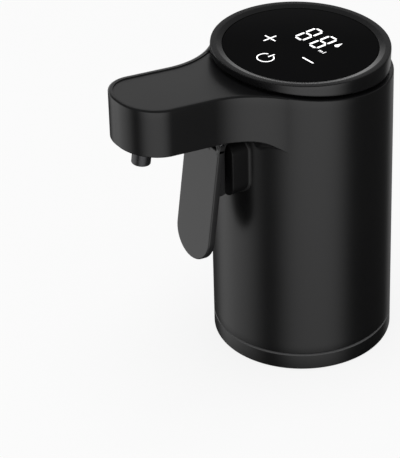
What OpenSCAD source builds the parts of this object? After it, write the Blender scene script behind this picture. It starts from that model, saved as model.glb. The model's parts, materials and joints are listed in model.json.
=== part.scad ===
// Electric wine dispenser: a round body that sits on a bottle neck, with a rising spout arm,
// a hanging trigger paddle, a round touch display and a roller pump inside.
// The origin is the middle of the bottle socket's mouth, on the plane the base stands on.
// Up is +Z and the spout arm points along -Y. Distances called reach, front or start are
// measured from the body axis towards the tip of the arm.

/* [Body] */
// Radius of the round body
body_r = 26; // [25:0.5:30]
// Wall of the body shell and of the arm
wall = 2; // [1.6:0.1:2.4]
// Height of the sloping top face on the body axis
top_h = 88.5; // [86:0.5:98]
// Rise of the top face and of the arm towards the tip, in degrees
slope = 7.9; // [5:0.1:10]

/* [Spout arm] */
// Distance from the body axis to the tip
arm_reach = 61.2; // [58:0.2:72]
// Width of the arm
arm_w = 22.6; // [21:0.2:26]
// Height of the arm, measured upright
arm_h = 14.6; // [14:0.1:18]
// Radius of the two corners of the tip
tip_r = 10.5; // [5:0.5:10.5]
// Radius of the hollow curve, seen from above, where the body flows into the arm
flow_r = 20; // [14:1:26]
// Radius of the hollow curve under the arm, seen from the side
under_r = 20; // [16:1:26]
// Distance from the axis at which the underside starts to curve down
under_start = 28; // [27.5:0.5:30]

/* [Base and bottle socket] */
// Height of the base ring
base_h = 5.2; // [4.5:0.1:8]
// Rounding of the base ring's lower edge
base_edge = 0.4; // [0.3:0.1:1.5]
// Floor of the base ring
base_floor = 2.4; // [2:0.1:3]
// Open seam between the base ring and the body
base_seam = 0.3; // [0.2:0.05:0.6]
// Radius of the socket that guides the bottle neck
socket_r = 15.5; // [14.5:0.1:16.2]
// Wall of the socket sleeve
socket_wall = 2; // [1.5:0.1:2.2]
// Length of the close guide at the mouth of the socket
guide_l = 14; // [10:0.5:14.4]
// How much wider the socket is above that guide
socket_relief = 0.4; // [0.2:0.1:0.8]
// Depth of the socket, up to the deck
socket_depth = 33; // [30:0.5:36]
// Thickness of the deck above the socket
deck_t = 2.5; // [2:0.1:3.5]
// Radius of the stopper's shaft
stopper_r = 8.7; // [8.2:0.1:9.2]
// How far each sealing rib stands out from the stopper's shaft
rib_out = 1.2; // [0.8:0.1:1.6]
// Number of sealing ribs
rib_count = 4; // [3:1:5]
// Length of the stopper below the seat gasket
stopper_l = 15; // [13:0.5:15.5]
// Thickness of the gasket that the bottle's lip seats on
seat_t = 2.5; // [2:0.1:3.5]
// Distance of the screw posts from the inside of the body wall
post_in = 2.6; // [2.4:0.05:2.7]
// Radius of the screw posts
post_r = 2.8; // [2.7:0.05:3]

/* [Display] */
// Height of the display rim above the top face, on the body axis
rim_rise = 5.2; // [4:0.1:6]
// Tilt of the display, rising towards the arm, in degrees
display_tilt = 3; // [0:0.1:3]
// Radius of the display collar
collar_r = 25.3; // [24.6:0.1:25.8]
// Rounding of the collar's upper edge
collar_edge = 0.3; // [0.3:0.1:1.4]
// Open seam between the collar and the sloping top face
collar_seam = 0.9; // [0.3:0.1:1]
// How far the collar reaches down into the body
collar_tuck = 2.5; // [2:0.1:3]
// Radius of the display window
lens_r = 21.8; // [21:0.1:22.6]
// Thickness of the display window
lens_t = 1.5; // [1:0.1:2]
// Fall of the collar's dished face from the rim to the window
dish_drop = 0.4; // [0.2:0.1:1]
// How far the window lies below the foot of that dish
lens_drop = 0.1; // [0.1:0.05:0.5]
// Inner radius of the ledge under the window
ledge_r = 17.5; // [16.5:0.1:18]
// Thickness of that ledge
ledge_t = 2.2; // [1.8:0.1:3]
// Radius of the display board
display_board_r = 20.4; // [20:0.1:20.6]
// Thickness of both circuit boards
board_t = 1.2; // [0.8:0.1:1.6]
// Sideways distance of the two outer touch pads from the middle of the display
touch_side = 8; // [7:0.1:9]
// Distance of those two pads from the middle, towards the arm
touch_row = 4.3; // [3.8:0.1:6]
// Distance of the third touch pad from the middle, towards the arm
touch_front = 12.3; // [11.5:0.1:14]
// Radius of a touch pad
touch_r = 2.2; // [1.5:0.1:2.4]
// Width of the lamp block behind the digits
digits_w = 15; // [12:0.5:18]
// Depth of that lamp block
digits_h = 10; // [8:0.5:12]

/* [Trigger] */
// Distance from the body axis to the paddle's hinge
hinge_front = 32.4; // [32.2:0.1:33]
// How far the hinge lies below the underside of the arm
hinge_drop = 2; // [2:0.1:2.6]
// Radius of the hinge pin
pin_r = 0.8; // [0.6:0.05:0.9]
// Radius of the hinge knuckles
knuckle_r = 1.7; // [1.4:0.05:1.8]
// Width of the paddle
paddle_w = 16; // [15.4:0.2:18]
// Length of the paddle below its hinge
paddle_l = 39.4; // [34:0.2:44]
// Thickness of the paddle
paddle_t = 2.2; // [1.8:0.1:2.4]
// Distance from the body axis to the front of the fixed block
block_front = 30.2; // [30:0.1:30.3]
// Width of the fixed block
block_w = 18.8; // [16:0.2:19]
// Height of the fixed block
block_h = 19; // [18.6:0.2:20]
// Height of the block's upper face above the plane of the arm's underside, on the body axis
block_rise = 2.1; // [1.5:0.1:2.1]
// Corner radius of the fixed block
block_r = 4; // [2:0.5:5]
// Front wall of the fixed block
block_wall = 2; // [1.6:0.1:2.2]
// Gap between the block and the paddle's rear boss at rest
press_gap = 1.2; // [1.15:0.05:1.4]
// Thickness of the gasket between block and body
gasket_t = 0.8; // [0.5:0.1:1.2]
// How far the gasket shows round the block
gasket_out = 0.4; // [0.2:0.1:1.6]
// Distance of the plunger's axis below the block's upper face
plunger_drop = 10; // [9.8:0.1:10.2]
// Radius of the plunger
plunger_r = 2.5; // [2:0.1:3]
// Mean radius of the return spring
spring_r = 2.6; // [2.4:0.1:3]
// Radius of the spring wire
spring_wire = 0.22; // [0.15:0.01:0.22]
// Number of curls in the return spring
spring_curls = 3; // [2:1:3]

/* [Nozzle and hoses] */
// Distance along the underside from the body axis to the nozzle
nozzle_front = 53.6; // [52:0.1:54.6]
// Radius of the nozzle
nozzle_r = 2.7; // [2.3:0.1:3]
// Radius of the nozzle's bore
nozzle_bore = 1.6; // [1.2:0.1:1.8]
// How far the nozzle reaches below the arm
nozzle_l = 6.8; // [5:0.1:10]
// Outer radius of the hoses and of the pump tube
hose_r = 2; // [1.8:0.05:2]
// Bore radius of the hoses
hose_bore = 1.2; // [1:0.05:1.3]
// Bend radius of the hoses
hose_bend = 4; // [3.6:0.1:4]
// Height of the delivery hose above the underside of the arm
hose_rise = 9.4; // [9:0.1:9.6]

/* [Pump] */
// Sideways distance of the pump from the body axis
pump_x = 7.2; // [7:0.1:7.4]
// Distance of the pump behind the body axis
pump_y = 3; // [2.6:0.1:3.2]
// Height of the pump's underside above the chassis floor
pump_rise = 8.5; // [8.5:0.1:10]
// Radius of the tube's bend round the rotor
tube_bend = 7.8; // [7.6:0.05:7.9]
// Wall of the pump housing
pump_wall = 1.5; // [1.2:0.1:1.6]
// Floor of the pump housing
pump_floor = 1.6; // [1.2:0.1:2]
// Height of the rotor
rotor_h = 9; // [8.5:0.1:10]
// Thickness of each rotor disc
rotor_disc = 1; // [0.8:0.1:1.4]
// Radius of a pump roller
roller_r = 2; // [1.7:0.05:2]
// Radius of the pins that carry the rollers
roller_pin = 0.8; // [0.6:0.05:1]
// Radius of the rotor's hub
hub_r = 1.3; // [1.15:0.05:1.35]
// Radius of the motor shaft
shaft_r = 0.75; // [0.6:0.05:0.8]
// Thickness of the pump cover
cover_t = 1.5; // [1.2:0.1:2]
// Radius of the motor can
motor_r = 8; // [7:0.1:8.4]
// Length of the motor can
motor_l = 16; // [14:0.5:20]

/* [Electronics] */
// Radius of the battery cell
battery_r = 8.2; // [7.5:0.1:8.4]
// Length of the battery cell
battery_l = 34; // [28:0.5:38]
// Sideways distance of the battery from the body axis
battery_x = 14; // [13.8:0.1:14.2]
// Distance of the battery behind the body axis
battery_y = 5; // [4.6:0.1:5.2]
// Thickness of the chassis floor
chassis_t = 2; // [1.6:0.1:2.5]
// Height of the cup that holds the battery
cup_h = 10; // [8:0.5:14]
// Width of the main board
board_w = 23; // [22.8:0.1:23.2]
// Height of the main board
board_h = 33; // [28:0.5:38]
// Distance of the main board from the inside of the body wall
board_in = 7; // [6.8:0.05:7.1]
// Height of the middle of the charging inlet above the chassis floor
inlet_rise = 6.5; // [5:0.5:12]
// Width of the charging inlet
inlet_w = 9; // [8.9:0.05:9.2]
// Height of the charging inlet
inlet_h = 3.2; // [3.1:0.05:3.4]

/* [Fits] */
// Gap round a fixed piece in its place
fit = 0.2; // [0.1:0.05:0.3]
// Gap round a pin or shaft that turns
run = 0.03; // [0.02:0.01:0.08]
// Gap between faces that pass each other
pass = 0.3; // [0.25:0.05:0.4]

/* [Hidden] */
$fn = 96;
// Height of the display rim on the body axis
rim_h = top_h + rim_rise;
// Reach of the cutting shapes, well past the whole part
span = 3 * (arm_reach + rim_h);
// Height of the underside's plane on the body axis, and heights of the inner floors
under_h = top_h - arm_h;
body_z = base_h + base_seam;
// How far the base ring's low wall goes up inside the body, and the wall's thickness
base_lip = 2.6;
base_lip_t = 1.4;
post_z = body_z + base_lip;
deck_z = socket_depth + deck_t;
floor_z = deck_z + chassis_t;
inner_r = body_r - wall;
tray_r = inner_r - pass;
post_ring = inner_r - post_in;
post_angles = [90, 210, 330];
// Part of each rib's step that the rib itself takes up
rib_part = 0.6;
seat_z = socket_depth - seat_t;
stopper_tip = seat_z - stopper_l;
// Metal tubes: a barb at the end of the inlet tube, and spigots that the hoses are pushed on
hose_sides = 10;
push_gap = 0.04;
tube_metal = 0.3;
spigot_r = hose_bore * cos(180 / hose_sides) - push_gap;
spigot_bore = spigot_r - tube_metal;
spigot_l = 3;
inlet_r = 1.5;
inlet_flange_t = 1.2;
barb_l = 0.8;
barb_out = 0.7;
inlet_tip = stopper_tip - barb_l;
// Air passage beside the inlet tube, with the valve on top of it
vent_at = [5.5, 2];
vent_r = 0.8;
valve_r = 2;
valve_h = 2.4;
lip_r = 1.4;
lip_h = 5;
slit = 0.3;
// Screws: shank, head, head height and lengths
screw_r = 1;
screw_head = 2;
screw_head_h = 1.3;
base_screw_l = 14;
chassis_screw_l = 12;
small_r = 0.7;
small_head = 1.4;
small_head_h = 1;
// Radius at which the dish would reach the height of the rim, and the display levels below the rim
dish_r = collar_r - collar_edge / 2;
lens_low = dish_drop + lens_drop + lens_t;
ledge_low = lens_low + ledge_t;
board_low = ledge_low + board_t;
display_screw_ring = (ledge_r + display_board_r) / 2;
// Trigger places
hinge_z = under_h + hinge_front * tan(slope) - hinge_drop;
block_top = under_h + block_rise;
block_bottom = block_top - block_h;
plunger_z = block_top - plunger_drop;
boss_front = block_front + press_gap;
boss_w = paddle_w - 2;
boss_low = block_bottom + 1.5;
boss_high = block_top - 2;
ear_mid = 5.6;
ear_t = 2;
pin_inset = 0.4;
// Insert of the block: the part behind its front wall that goes through the body wall
insert_w = block_w - 4;
insert_low = block_bottom + 1.2;
insert_high = 2 * plunger_z - insert_low;
insert_end = 20;
insert_r = 1.3;
insert_side = 1.7;
insert_lid = 2.2;
window_r = insert_r + fit;
cavity_w = insert_w - 2 * insert_side;
cavity_h = insert_high - insert_low - 2 * insert_lid;
bracket_t = 1.5;
bracket_side = 4;
bracket_rim = 2;
// How far the screws of the bracket, the pump and the display bite, and the room past their ends
bracket_bite = 3.5;
pump_bite = 5;
display_bite = 1.3;
bite_room = 0.5;
switch_w = 6;
switch_t = 3.5;
button_r = 1.7;
button_t = 0.8;
// Plunger and spring, with the free travel before the button and small gaps at both ends
travel = 0.75;
touch = 0.05;
stem_r = 1.5;
collar_out = 1.4;
plunger_collar_t = 1.2;
collar_front = block_front - block_wall - 2 * touch;
plunger_end = insert_end + switch_t + button_t + travel;
nose_mid = boss_front - touch - plunger_r;
spring_low = insert_end + switch_t + spring_wire + touch;
spring_high = collar_front - plunger_collar_t - spring_wire - touch;
spring_rings = 8;
// Pump places; the number of rollers is the number of roller nodes
roller_count = 3;
pump_z = floor_z + pump_rise;
tube_slack = 0.1;
race_r = tube_bend + hose_r + tube_slack;
pump_r = race_r + pump_wall;
rotor_z = pump_z + pump_floor + pass;
rotor_mid = rotor_z + rotor_h / 2;
pump_top = rotor_z + rotor_h + pass;
roller_ring = tube_bend - hose_r - pass - roller_r;
rotor_r = roller_ring + roller_r;
roller_h = rotor_h - 2 * rotor_disc - 2 * pass;
leg_x = [pump_x - tube_bend, pump_x + tube_bend];
pump_nose = 2.5;
pump_front = pump_y - race_r - pump_nose;
leg_end = pump_front - fit;
coupler_t = 0.8;
coupler_l = 1;
hose_start = leg_end - coupler_t;
hose_turn = hose_start - hose_bend - coupler_l;
lug_ring = race_r + 2;
lug_r = 1.9;
pump_screws_at = [
    [pump_x, pump_front + pump_nose / 2],
    [pump_x + lug_ring * cos(60), pump_y + lug_ring * sin(60)],
    [pump_x + lug_ring * cos(120), pump_y + lug_ring * sin(120)]
];
motor_z = pump_top + cover_t;
motor_boss = 3;
motor_cap = 1.2;
terminal_x = 5;
terminal_w = 2;
terminal_t = 0.5;
terminal_l = 3;
shaft_end = 0.9;
shaft_low = pump_z + pump_floor - shaft_end;
shaft_high = motor_z + 4;
// Chassis: opening for the hose and the valve, battery cup and rails of the main board
hole_r = 8.4;
cup_wall = 1.2;
rail_w = 2.3;
rail_h = 20;
rail_lap = 0.9;
battery_cap = 2.6;
// Main board: the chip in the middle and the two beside it
chip = 8;
chip_t = 1.2;
side_chip = [3, 1.6, 5];
side_chip_x = 3;
board_back = inner_r - board_in;
inlet_z = floor_z + inlet_rise;
inlet_back = body_r - 0.5;
inlet_metal = 0.35;
tongue = [6.6, 0.7];
// How far the hollow curve of the plan runs into the round body, so that the two cross cleanly
flow_lap = 0.05;
// Arm cover places
cover_start = under_start + 1.2;
cover_screws_at = [[-6.4, 44], [6.4, 44]];
cover_post_r = 2.2;
cover_hole = 7.5;
seal_t = 0.6;
nozzle_flange_t = 1.2;
nozzle_flange = nozzle_r + 1.5;
nozzle_top = wall + seal_t + nozzle_flange_t;
// Height of the suction hose under the pump
suction_z = pump_z - hose_r - 0.5;

// Frames and cutting shapes

// Children are placed on a plane that rises towards the tip; h is its height on the axis
module on_slope(h) {
    translate([0, 0, h]) rotate([-slope, 0, 0]) children();
}

// Children are placed on the display rim
module on_rim() {
    translate([0, 0, rim_h]) rotate([-display_tilt, 0, 0]) children();
}

// Children point forwards: their +Z becomes the direction of the arm, their +Y becomes up
module facing_front() {
    rotate([90, 0, 0]) children();
}

module above(h) {
    on_slope(h) translate([-span, -span, 0]) cube([2 * span, 2 * span, span]);
}

module below(h) {
    on_slope(h) translate([-span, -span, -span]) cube([2 * span, 2 * span, span]);
}

// Point on the underside's frame: t along the underside, n square to it
function slope_point(t, n) = [
    0,
    -t * cos(slope) + n * sin(slope),
    under_h + t * sin(slope) + n * cos(slope)
];

// Plan of the arm with its hollow curves, set in by i
module arm_plan(i) {
    half = arm_w / 2 - i;
    corner = tip_r - i;
    flow_x = arm_w / 2 + flow_r;
    flow_y = -sqrt(pow(body_r + flow_r - flow_lap, 2) - pow(flow_x, 2));
    translate([-half, corner - arm_reach + i]) square([2 * half, arm_reach - i - corner]);
    translate([corner - half, i - arm_reach]) square([2 * (half - corner), corner + 1]);
    for (side = [-1, 1]) {
        translate([side * (half - corner), corner + i - arm_reach]) circle(r = corner);
        difference() {
            polygon([[0, 0], [0, flow_y], [side * flow_x, flow_y]]);
            translate([side * flow_x, flow_y]) circle(r = flow_r + i);
        }
    }
}

// Open space under the arm: a plane that runs into a hollow curve towards the body
module under_arm() {
    on_slope(under_h) {
        translate([-span, -span, -span]) cube([2 * span, span - under_start, span]);
        translate([-span, -under_start, -under_r]) rotate([0, 90, 0])
            cylinder(r = under_r, h = 2 * span);
        translate([-span, -under_start - 1, -span]) cube([2 * span, under_r + 1, span - under_r]);
    }
}

// Rounded rectangle between two heights, standing across the arm
module upright_plan(w, low, high, r) {
    for (x = [r - w / 2, w / 2 - r]) {
        for (y = [low + r, high - r]) {
            translate([x, y]) circle(r = r);
        }
    }
    translate([-w / 2, low + r]) square([w, high - low - 2 * r]);
    translate([r - w / 2, low]) square([w - 2 * r, high - low]);
}

// Flat oval w wide and h high
module oval(w, h) {
    translate([h / 2 - w / 2, 0]) circle(d = h);
    translate([w / 2 - h / 2, 0]) circle(d = h);
    translate([h / 2 - w / 2, -h / 2]) square([w - h, h]);
}

module tube(r, bore, h) {
    difference() {
        cylinder(r = r, h = h);
        translate([0, 0, -1]) cylinder(r = bore, h = h + 2);
    }
}

// Screw with its head on z = 0, head up, shank down
module screw(shank_r, head_r, head_h, l) {
    cylinder(r = head_r, h = head_h);
    translate([0, 0, -l]) cylinder(r = shank_r, h = l + head_h / 2);
}

// Children at each screw post
module at_posts() {
    for (a = post_angles) {
        rotate([0, 0, a]) translate([post_ring, 0, 0]) children();
    }
}

// Swept tubes: a route of straight runs with round corners, as rings of a polyhedron

function unit(v) = v / norm(v);

// Arc that rounds the corner at b between a and c
function corner_arc(a, b, c, r, steps) = let (
    u = unit(a - b),
    w = unit(c - b),
    half = acos(u * w) / 2,
    start = b + u * r / tan(half),
    middle = b + unit(u + w) * r / sin(half),
    side = (start - middle) / r
) [for (k = [0:steps]) let (t = k * (180 - 2 * half) / steps) middle + r * (side * cos(t) - u * sin(t))];

function route(points, r, steps) = concat(
    [points[0]],
    [for (i = [1:len(points) - 2]) each corner_arc(points[i - 1], points[i], points[i + 1], r, steps)],
    [points[len(points) - 1]]
);

// Direction of the path at point i
function heading(path, i) =
    i == 0 ? unit(path[1] - path[0]) :
    i == len(path) - 1 ? unit(path[i] - path[i - 1]) :
    unit(unit(path[i] - path[i - 1]) + unit(path[i + 1] - path[i]));

// Part of v that is square to the direction d
function square_to(v, d) = unit(v - (v * d) * d);

// One sideways direction for each point, carried along without twist
function carried(path, i, v) = i == len(path) ? [] :
    let (n = square_to(v, heading(path, i))) concat([n], carried(path, i + 1, n));

// Rings of a tube round the path
function rings(path, r, sides, first) = let (n = carried(path, 0, first)) [
    for (i = [0:len(path) - 1]) let (b = cross(heading(path, i), n[i]))
        for (k = [0:sides - 1]) let (t = k * 360 / sides) path[i] + r * (n[i] * cos(t) + b * sin(t))
];

function skin(from, count, sides, flip) = [
    for (i = [0:count - 2]) for (k = [0:sides - 1]) let (
        p = from + i * sides + k,
        q = from + i * sides + (k + 1) % sides
    ) each flip ? [[p, p + sides, q], [q, p + sides, q + sides]] :
        [[p, q, p + sides], [q, q + sides, p + sides]]
];

// Flat ring that joins the outer and the inner skin at one end
function end_ring(outer, inner, sides, flip) = [
    for (k = [0:sides - 1]) let (m = (k + 1) % sides)
        each flip ? [[outer + k, inner + k, outer + m], [outer + m, inner + k, inner + m]] :
            [[outer + k, outer + m, inner + k], [outer + m, inner + m, inner + k]]
];

module hose(path, first) {
    sides = hose_sides;
    count = len(path);
    half = count * sides;
    last = half - sides;
    polyhedron(
        concat(rings(path, hose_r, sides, first), rings(path, hose_bore, sides, first)),
        concat(
            skin(0, count, sides, true), skin(half, count, sides, false),
            end_ring(0, half, sides, false), end_ring(last, half + last, sides, true)
        )
    );
}

module wire(path, r, first) {
    sides = 6;
    count = len(path);
    last = (count - 1) * sides;
    polyhedron(
        rings(path, r, sides, first),
        concat(
            skin(0, count, sides, true),
            [for (k = [1:sides - 2]) [0, k, k + 1]],
            [for (k = [1:sides - 2]) [last, last + k + 1, last + k]]
        )
    );
}

// Casing

// Round body and arm in one moulding, open below the arm and at both ends of the body
module body_shell() {
    color("#3a3b3d") difference() {
        union() {
            difference() {
                union() {
                    translate([0, 0, body_z]) cylinder(r = body_r, h = span);
                    difference() {
                        translate([0, 0, body_z]) linear_extrude(height = span) arm_plan(0);
                        under_arm();
                    }
                }
                translate([0, 0, -1]) cylinder(r = inner_r, h = 2 * span);
                arm_hollow();
            }
            at_posts() translate([0, 0, post_z]) cylinder(r = post_r, h = socket_depth - post_z);
            cover_posts();
        }
        above(top_h);
        at_posts() translate([0, 0, post_z - 1]) cylinder(r = screw_r + run, h = socket_depth);
        cover_screw_holes();
        facing_front() linear_extrude(height = span)
            upright_plan(insert_w + 2 * fit, insert_low - fit, insert_high + fit, window_r);
        translate([0, 0, inlet_z]) rotate([-90, 0, 0]) linear_extrude(height = span)
            oval(inlet_w + 2 * fit, inlet_h + 2 * fit);
    }
}

// Hose space inside the arm, with a floor left where the arm meets the body
module arm_hollow() {
    difference() {
        linear_extrude(height = span) arm_plan(wall + pass);
        below(under_h);
        above(top_h - wall / cos(slope));
        on_slope(under_h) translate([-span, -cover_start, -1]) cube([2 * span, cover_start, wall + 1]);
    }
}

// Posts that hang from the arm's top wall and take the cover screws
module cover_posts() {
    on_slope(under_h) {
        for (p = cover_screws_at) {
            translate([p[0], -p[1], wall]) cylinder(r = cover_post_r, h = arm_h - wall);
        }
    }
}

module cover_screw_holes() {
    on_slope(under_h) {
        for (p = cover_screws_at) {
            translate([p[0], -p[1], -1]) cylinder(r = small_r + run, h = cover_hole + 1);
        }
    }
}

// Plate that closes the arm from below, with the two hinge ears for the paddle
module spout_cover() {
    color("#303134") difference() {
        union() {
            difference() {
                linear_extrude(height = span) arm_plan(wall + pass + fit);
                below(under_h);
                above(under_h + wall / cos(slope));
                on_slope(under_h) translate([-span, -cover_start - fit, -1])
                    cube([2 * span, span, wall + 2]);
            }
            for (x = [-ear_mid, ear_mid]) {
                translate([x - ear_t / 2, -hinge_front, hinge_z]) {
                    rotate([0, 90, 0]) cylinder(r = knuckle_r, h = ear_t);
                    rotate([-slope, 0, 0]) translate([0, -knuckle_r, 0])
                        cube([ear_t, 2 * knuckle_r, hinge_drop + wall / 2]);
                }
            }
        }
        translate([-span, -hinge_front, hinge_z]) rotate([0, 90, 0])
            cylinder(r = pin_r, h = 2 * span);
        on_slope(under_h) translate([0, -nozzle_front, -1])
            cylinder(r = nozzle_r + run, h = wall + 2);
        cover_screw_holes();
        on_slope(under_h) {
            for (p = cover_screws_at) {
                translate([p[0], -p[1], -1]) cylinder(r = small_head + fit, h = small_head_h + 1);
            }
        }
    }
}

// Ring under the body with its floor and a low wall that centres the body
module base_ring() {
    low_r = socket_r + socket_wall + fit;
    color("#35363a") difference() {
        union() {
            rotate_extrude() {
                translate([low_r, 0]) square([body_r - base_edge - low_r, base_floor]);
                translate([body_r - base_edge, base_edge]) circle(r = base_edge);
                translate([inner_r, base_edge]) square([wall, base_h - base_edge]);
                translate([inner_r - fit - base_lip_t, base_floor / 2])
                    square([base_lip_t, post_z - pass - base_floor / 2]);
                translate([inner_r - fit - 1, base_floor / 2]) square([wall, base_h - base_floor / 2]);
            }
            at_posts() translate([0, 0, base_floor / 2])
                cylinder(r = screw_head + fit / 2, h = post_z - base_floor / 2);
        }
        at_posts() {
            translate([0, 0, -1]) cylinder(r = screw_r + fit, h = span);
            translate([0, 0, -1]) cylinder(r = screw_head + fit, h = screw_head_h + fit + 1);
        }
    }
}

// Sleeve that goes over the bottle neck, with a close guide at its mouth
module bottle_socket() {
    color("#2b2c2f") difference() {
        cylinder(r = socket_r + socket_wall, h = socket_depth);
        translate([0, 0, -1]) cylinder(r = socket_r, h = guide_l + 2);
        translate([0, 0, guide_l]) cylinder(r = socket_r + socket_relief, h = span);
    }
}

// Plate that closes the sleeve and carries the inner frame
module socket_deck() {
    color("#2b2c2f") difference() {
        translate([0, 0, socket_depth]) cylinder(r = tray_r, h = deck_t);
        cylinder(r = inlet_r + fit, h = span);
        translate(vent_at) cylinder(r = vent_r, h = span);
        at_posts() cylinder(r = screw_r + fit, h = span);
    }
}

// Ribbed plug that seals the bottle neck from inside
module bottle_stopper() {
    pitch = stopper_l / (rib_count + 0.5);
    color("#8d8f92") difference() {
        rotate_extrude() {
            translate([0, stopper_tip]) square([stopper_r, stopper_l + seat_t]);
            for (k = [0:rib_count - 1]) {
                rib_z = stopper_tip + 1 + k * pitch;
                polygon([
                    [stopper_r - 1, rib_z], [stopper_r, rib_z], [stopper_r + rib_out, rib_z + pitch / 2],
                    [stopper_r, rib_z + rib_part * pitch], [stopper_r - 1, rib_z + rib_part * pitch]
                ]);
            }
        }
        translate([0, 0, stopper_tip - 1]) cylinder(r = inlet_r + run, h = span);
        translate([vent_at[0], vent_at[1], stopper_tip - 1]) cylinder(r = vent_r, h = span);
    }
}

// Soft ring round the stopper, under the deck, for the bottle's lip
module seat_gasket() {
    color("#a3a5a8") translate([0, 0, seat_z]) tube(socket_r - pass, stopper_r + run, seat_t);
}

// Metal tube through the stopper: a barb below, a flange on the deck and a hose spigot above
module inlet_tube() {
    barb_r = inlet_r + barb_out;
    color("#b9bcc0") difference() {
        union() {
            translate([0, 0, inlet_tip]) cylinder(r = inlet_r, h = deck_z - inlet_tip + 1);
            translate([0, 0, inlet_tip]) cylinder(r1 = inlet_r, r2 = barb_r, h = stopper_tip - inlet_tip);
            translate([0, 0, deck_z]) cylinder(r = 2 * inlet_r, h = inlet_flange_t);
            translate([0, 0, deck_z]) cylinder(r = spigot_r, h = inlet_flange_t + spigot_l);
        }
        translate([0, 0, inlet_tip - 1]) cylinder(r = spigot_bore, h = span);
    }
}

// Small one-way valve that lets air into the bottle
module air_valve() {
    color("#d9d6cc") translate([vent_at[0], vent_at[1], deck_z]) difference() {
        union() {
            cylinder(r = valve_r, h = valve_h);
            cylinder(r = lip_r, h = lip_h);
        }
        translate([0, 0, -1]) cylinder(r = vent_r, h = lip_h);
        translate([-valve_r, -slit / 2, lip_h - 1]) cube([2 * valve_r, slit, 2]);
    }
}

// Inner frame on the deck: floor, battery cup, pump posts and rails for the main board
module chassis() {
    rail_x = board_w / 2 - rail_lap;
    color("#c9cbce") difference() {
        union() {
            translate([0, 0, deck_z]) cylinder(r = tray_r, h = chassis_t);
            intersection() {
                translate([0, 0, deck_z]) cylinder(r = tray_r, h = span);
                translate([-battery_x, battery_y, deck_z])
                    cylinder(r = battery_r + fit + cup_wall, h = chassis_t + cup_h);
            }
            for (p = pump_screws_at) {
                translate([p[0], p[1], deck_z]) cylinder(r = lug_r - 0.1, h = pump_z - deck_z);
            }
            for (side = [-1, 1]) {
                translate([side * (rail_x + rail_w / 2) - rail_w / 2, board_back - 1, deck_z])
                    cube([rail_w, board_t + 2, chassis_t + rail_h]);
            }
        }
        translate([0, 0, deck_z - 1]) cylinder(r = hole_r, h = span);
        translate([-battery_x, battery_y, floor_z]) cylinder(r = battery_r + fit, h = span);
        for (p = pump_screws_at) {
            translate([p[0], p[1], floor_z]) cylinder(r = small_r + run, h = span);
        }
        translate([-board_w / 2 - fit / 2, board_back - fit / 2, floor_z])
            cube([board_w + fit, board_t + fit, span]);
        at_posts() translate([0, 0, deck_z - 1]) cylinder(r = screw_r + fit, h = span);
    }
}

// Electronics

module battery() {
    color("#3f6fa8") translate([-battery_x, battery_y, floor_z]) {
        cylinder(r = battery_r, h = battery_l);
        cylinder(r = battery_cap, h = battery_l + 1);
    }
}

// Upright board at the back with its larger chips
module main_board() {
    color("#1f5b3a") translate([-board_w / 2, board_back, floor_z]) {
        cube([board_w, board_t, board_h]);
        translate([(board_w - chip) / 2, 0, board_h - side_chip[2] - chip])
            cube([chip, board_t + chip_t, chip]);
        for (x = [side_chip_x, board_w - side_chip_x - side_chip[0]]) {
            translate([x, 0, board_h - chip]) cube([side_chip[0], board_t + side_chip[1], side_chip[2]]);
        }
    }
}

// Rear charging inlet: an oval metal shell with its tongue
module charge_socket() {
    front = board_back + board_t;
    color("#a9acb0") translate([0, front, inlet_z]) rotate([-90, 0, 0]) {
        difference() {
            linear_extrude(height = inlet_back - front) oval(inlet_w, inlet_h);
            translate([0, 0, 1]) linear_extrude(height = span)
                oval(inlet_w - 2 * inlet_metal, inlet_h - 2 * inlet_metal);
        }
        translate([-tongue[0] / 2, -tongue[1] / 2, 0.5])
            cube([tongue[0], tongue[1], inlet_back - front - 1.5]);
    }
}

// Pump

// Plan of the pump head: round, with a straight front for the tube's legs and two screw lugs
module pump_plan() {
    translate([pump_x, pump_y]) circle(r = pump_r);
    translate([leg_x[0] - hose_r - pump_wall, pump_front])
        square([2 * (tube_bend + hose_r + pump_wall), pump_y - pump_front]);
    for (k = [1, 2]) {
        translate(pump_screws_at[k]) circle(r = lug_r);
    }
}

// Cup with the round race that the rollers press the tube against
module pump_housing() {
    color("#dadcde") difference() {
        translate([0, 0, pump_z]) linear_extrude(height = pump_top - pump_z) pump_plan();
        translate([pump_x, pump_y, pump_z + pump_floor]) cylinder(r = race_r, h = span);
        for (x = leg_x) {
            translate([x - hose_r - tube_slack, pump_front - 1, pump_z + pump_floor])
                cube([2 * (hose_r + tube_slack), pump_y - pump_front + 1, span]);
        }
        translate([pump_x, pump_y, shaft_low - tube_slack]) cylinder(r = shaft_r + run, h = span);
        for (p = pump_screws_at) {
            translate([p[0], p[1], 0]) cylinder(r = small_r + fit, h = span);
        }
    }
}

// Lid of the pump head, which also carries the motor
module pump_cover() {
    color("#c3c6ca") difference() {
        translate([0, 0, pump_top]) linear_extrude(height = cover_t) pump_plan();
        translate([pump_x, pump_y, 0]) cylinder(r = motor_boss + run, h = span);
        for (p = pump_screws_at) {
            translate([p[0], p[1], 0]) cylinder(r = small_r + fit, h = span);
        }
    }
}

module pump_motor() {
    color("#9a9da1") translate([pump_x, pump_y, motor_z]) difference() {
        union() {
            cylinder(r = motor_r, h = motor_l);
            translate([0, 0, -cover_t]) cylinder(r = motor_boss, h = cover_t + 1);
            translate([0, 0, motor_l - 1]) cylinder(r = motor_boss, h = motor_cap + 1);
            for (x = [-terminal_x, terminal_x]) {
                translate([x - terminal_w / 2, -terminal_t / 2, motor_l - 1])
                    cube([terminal_w, terminal_t, terminal_l + 1]);
            }
        }
        translate([0, 0, -cover_t - 1])
            cylinder(r = shaft_r + run, h = shaft_high + pass - motor_z + cover_t + 1);
    }
}

module motor_shaft() {
    color("#e2e4e6") translate([pump_x, pump_y, shaft_low])
        cylinder(r = shaft_r, h = shaft_high - shaft_low);
}

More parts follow.
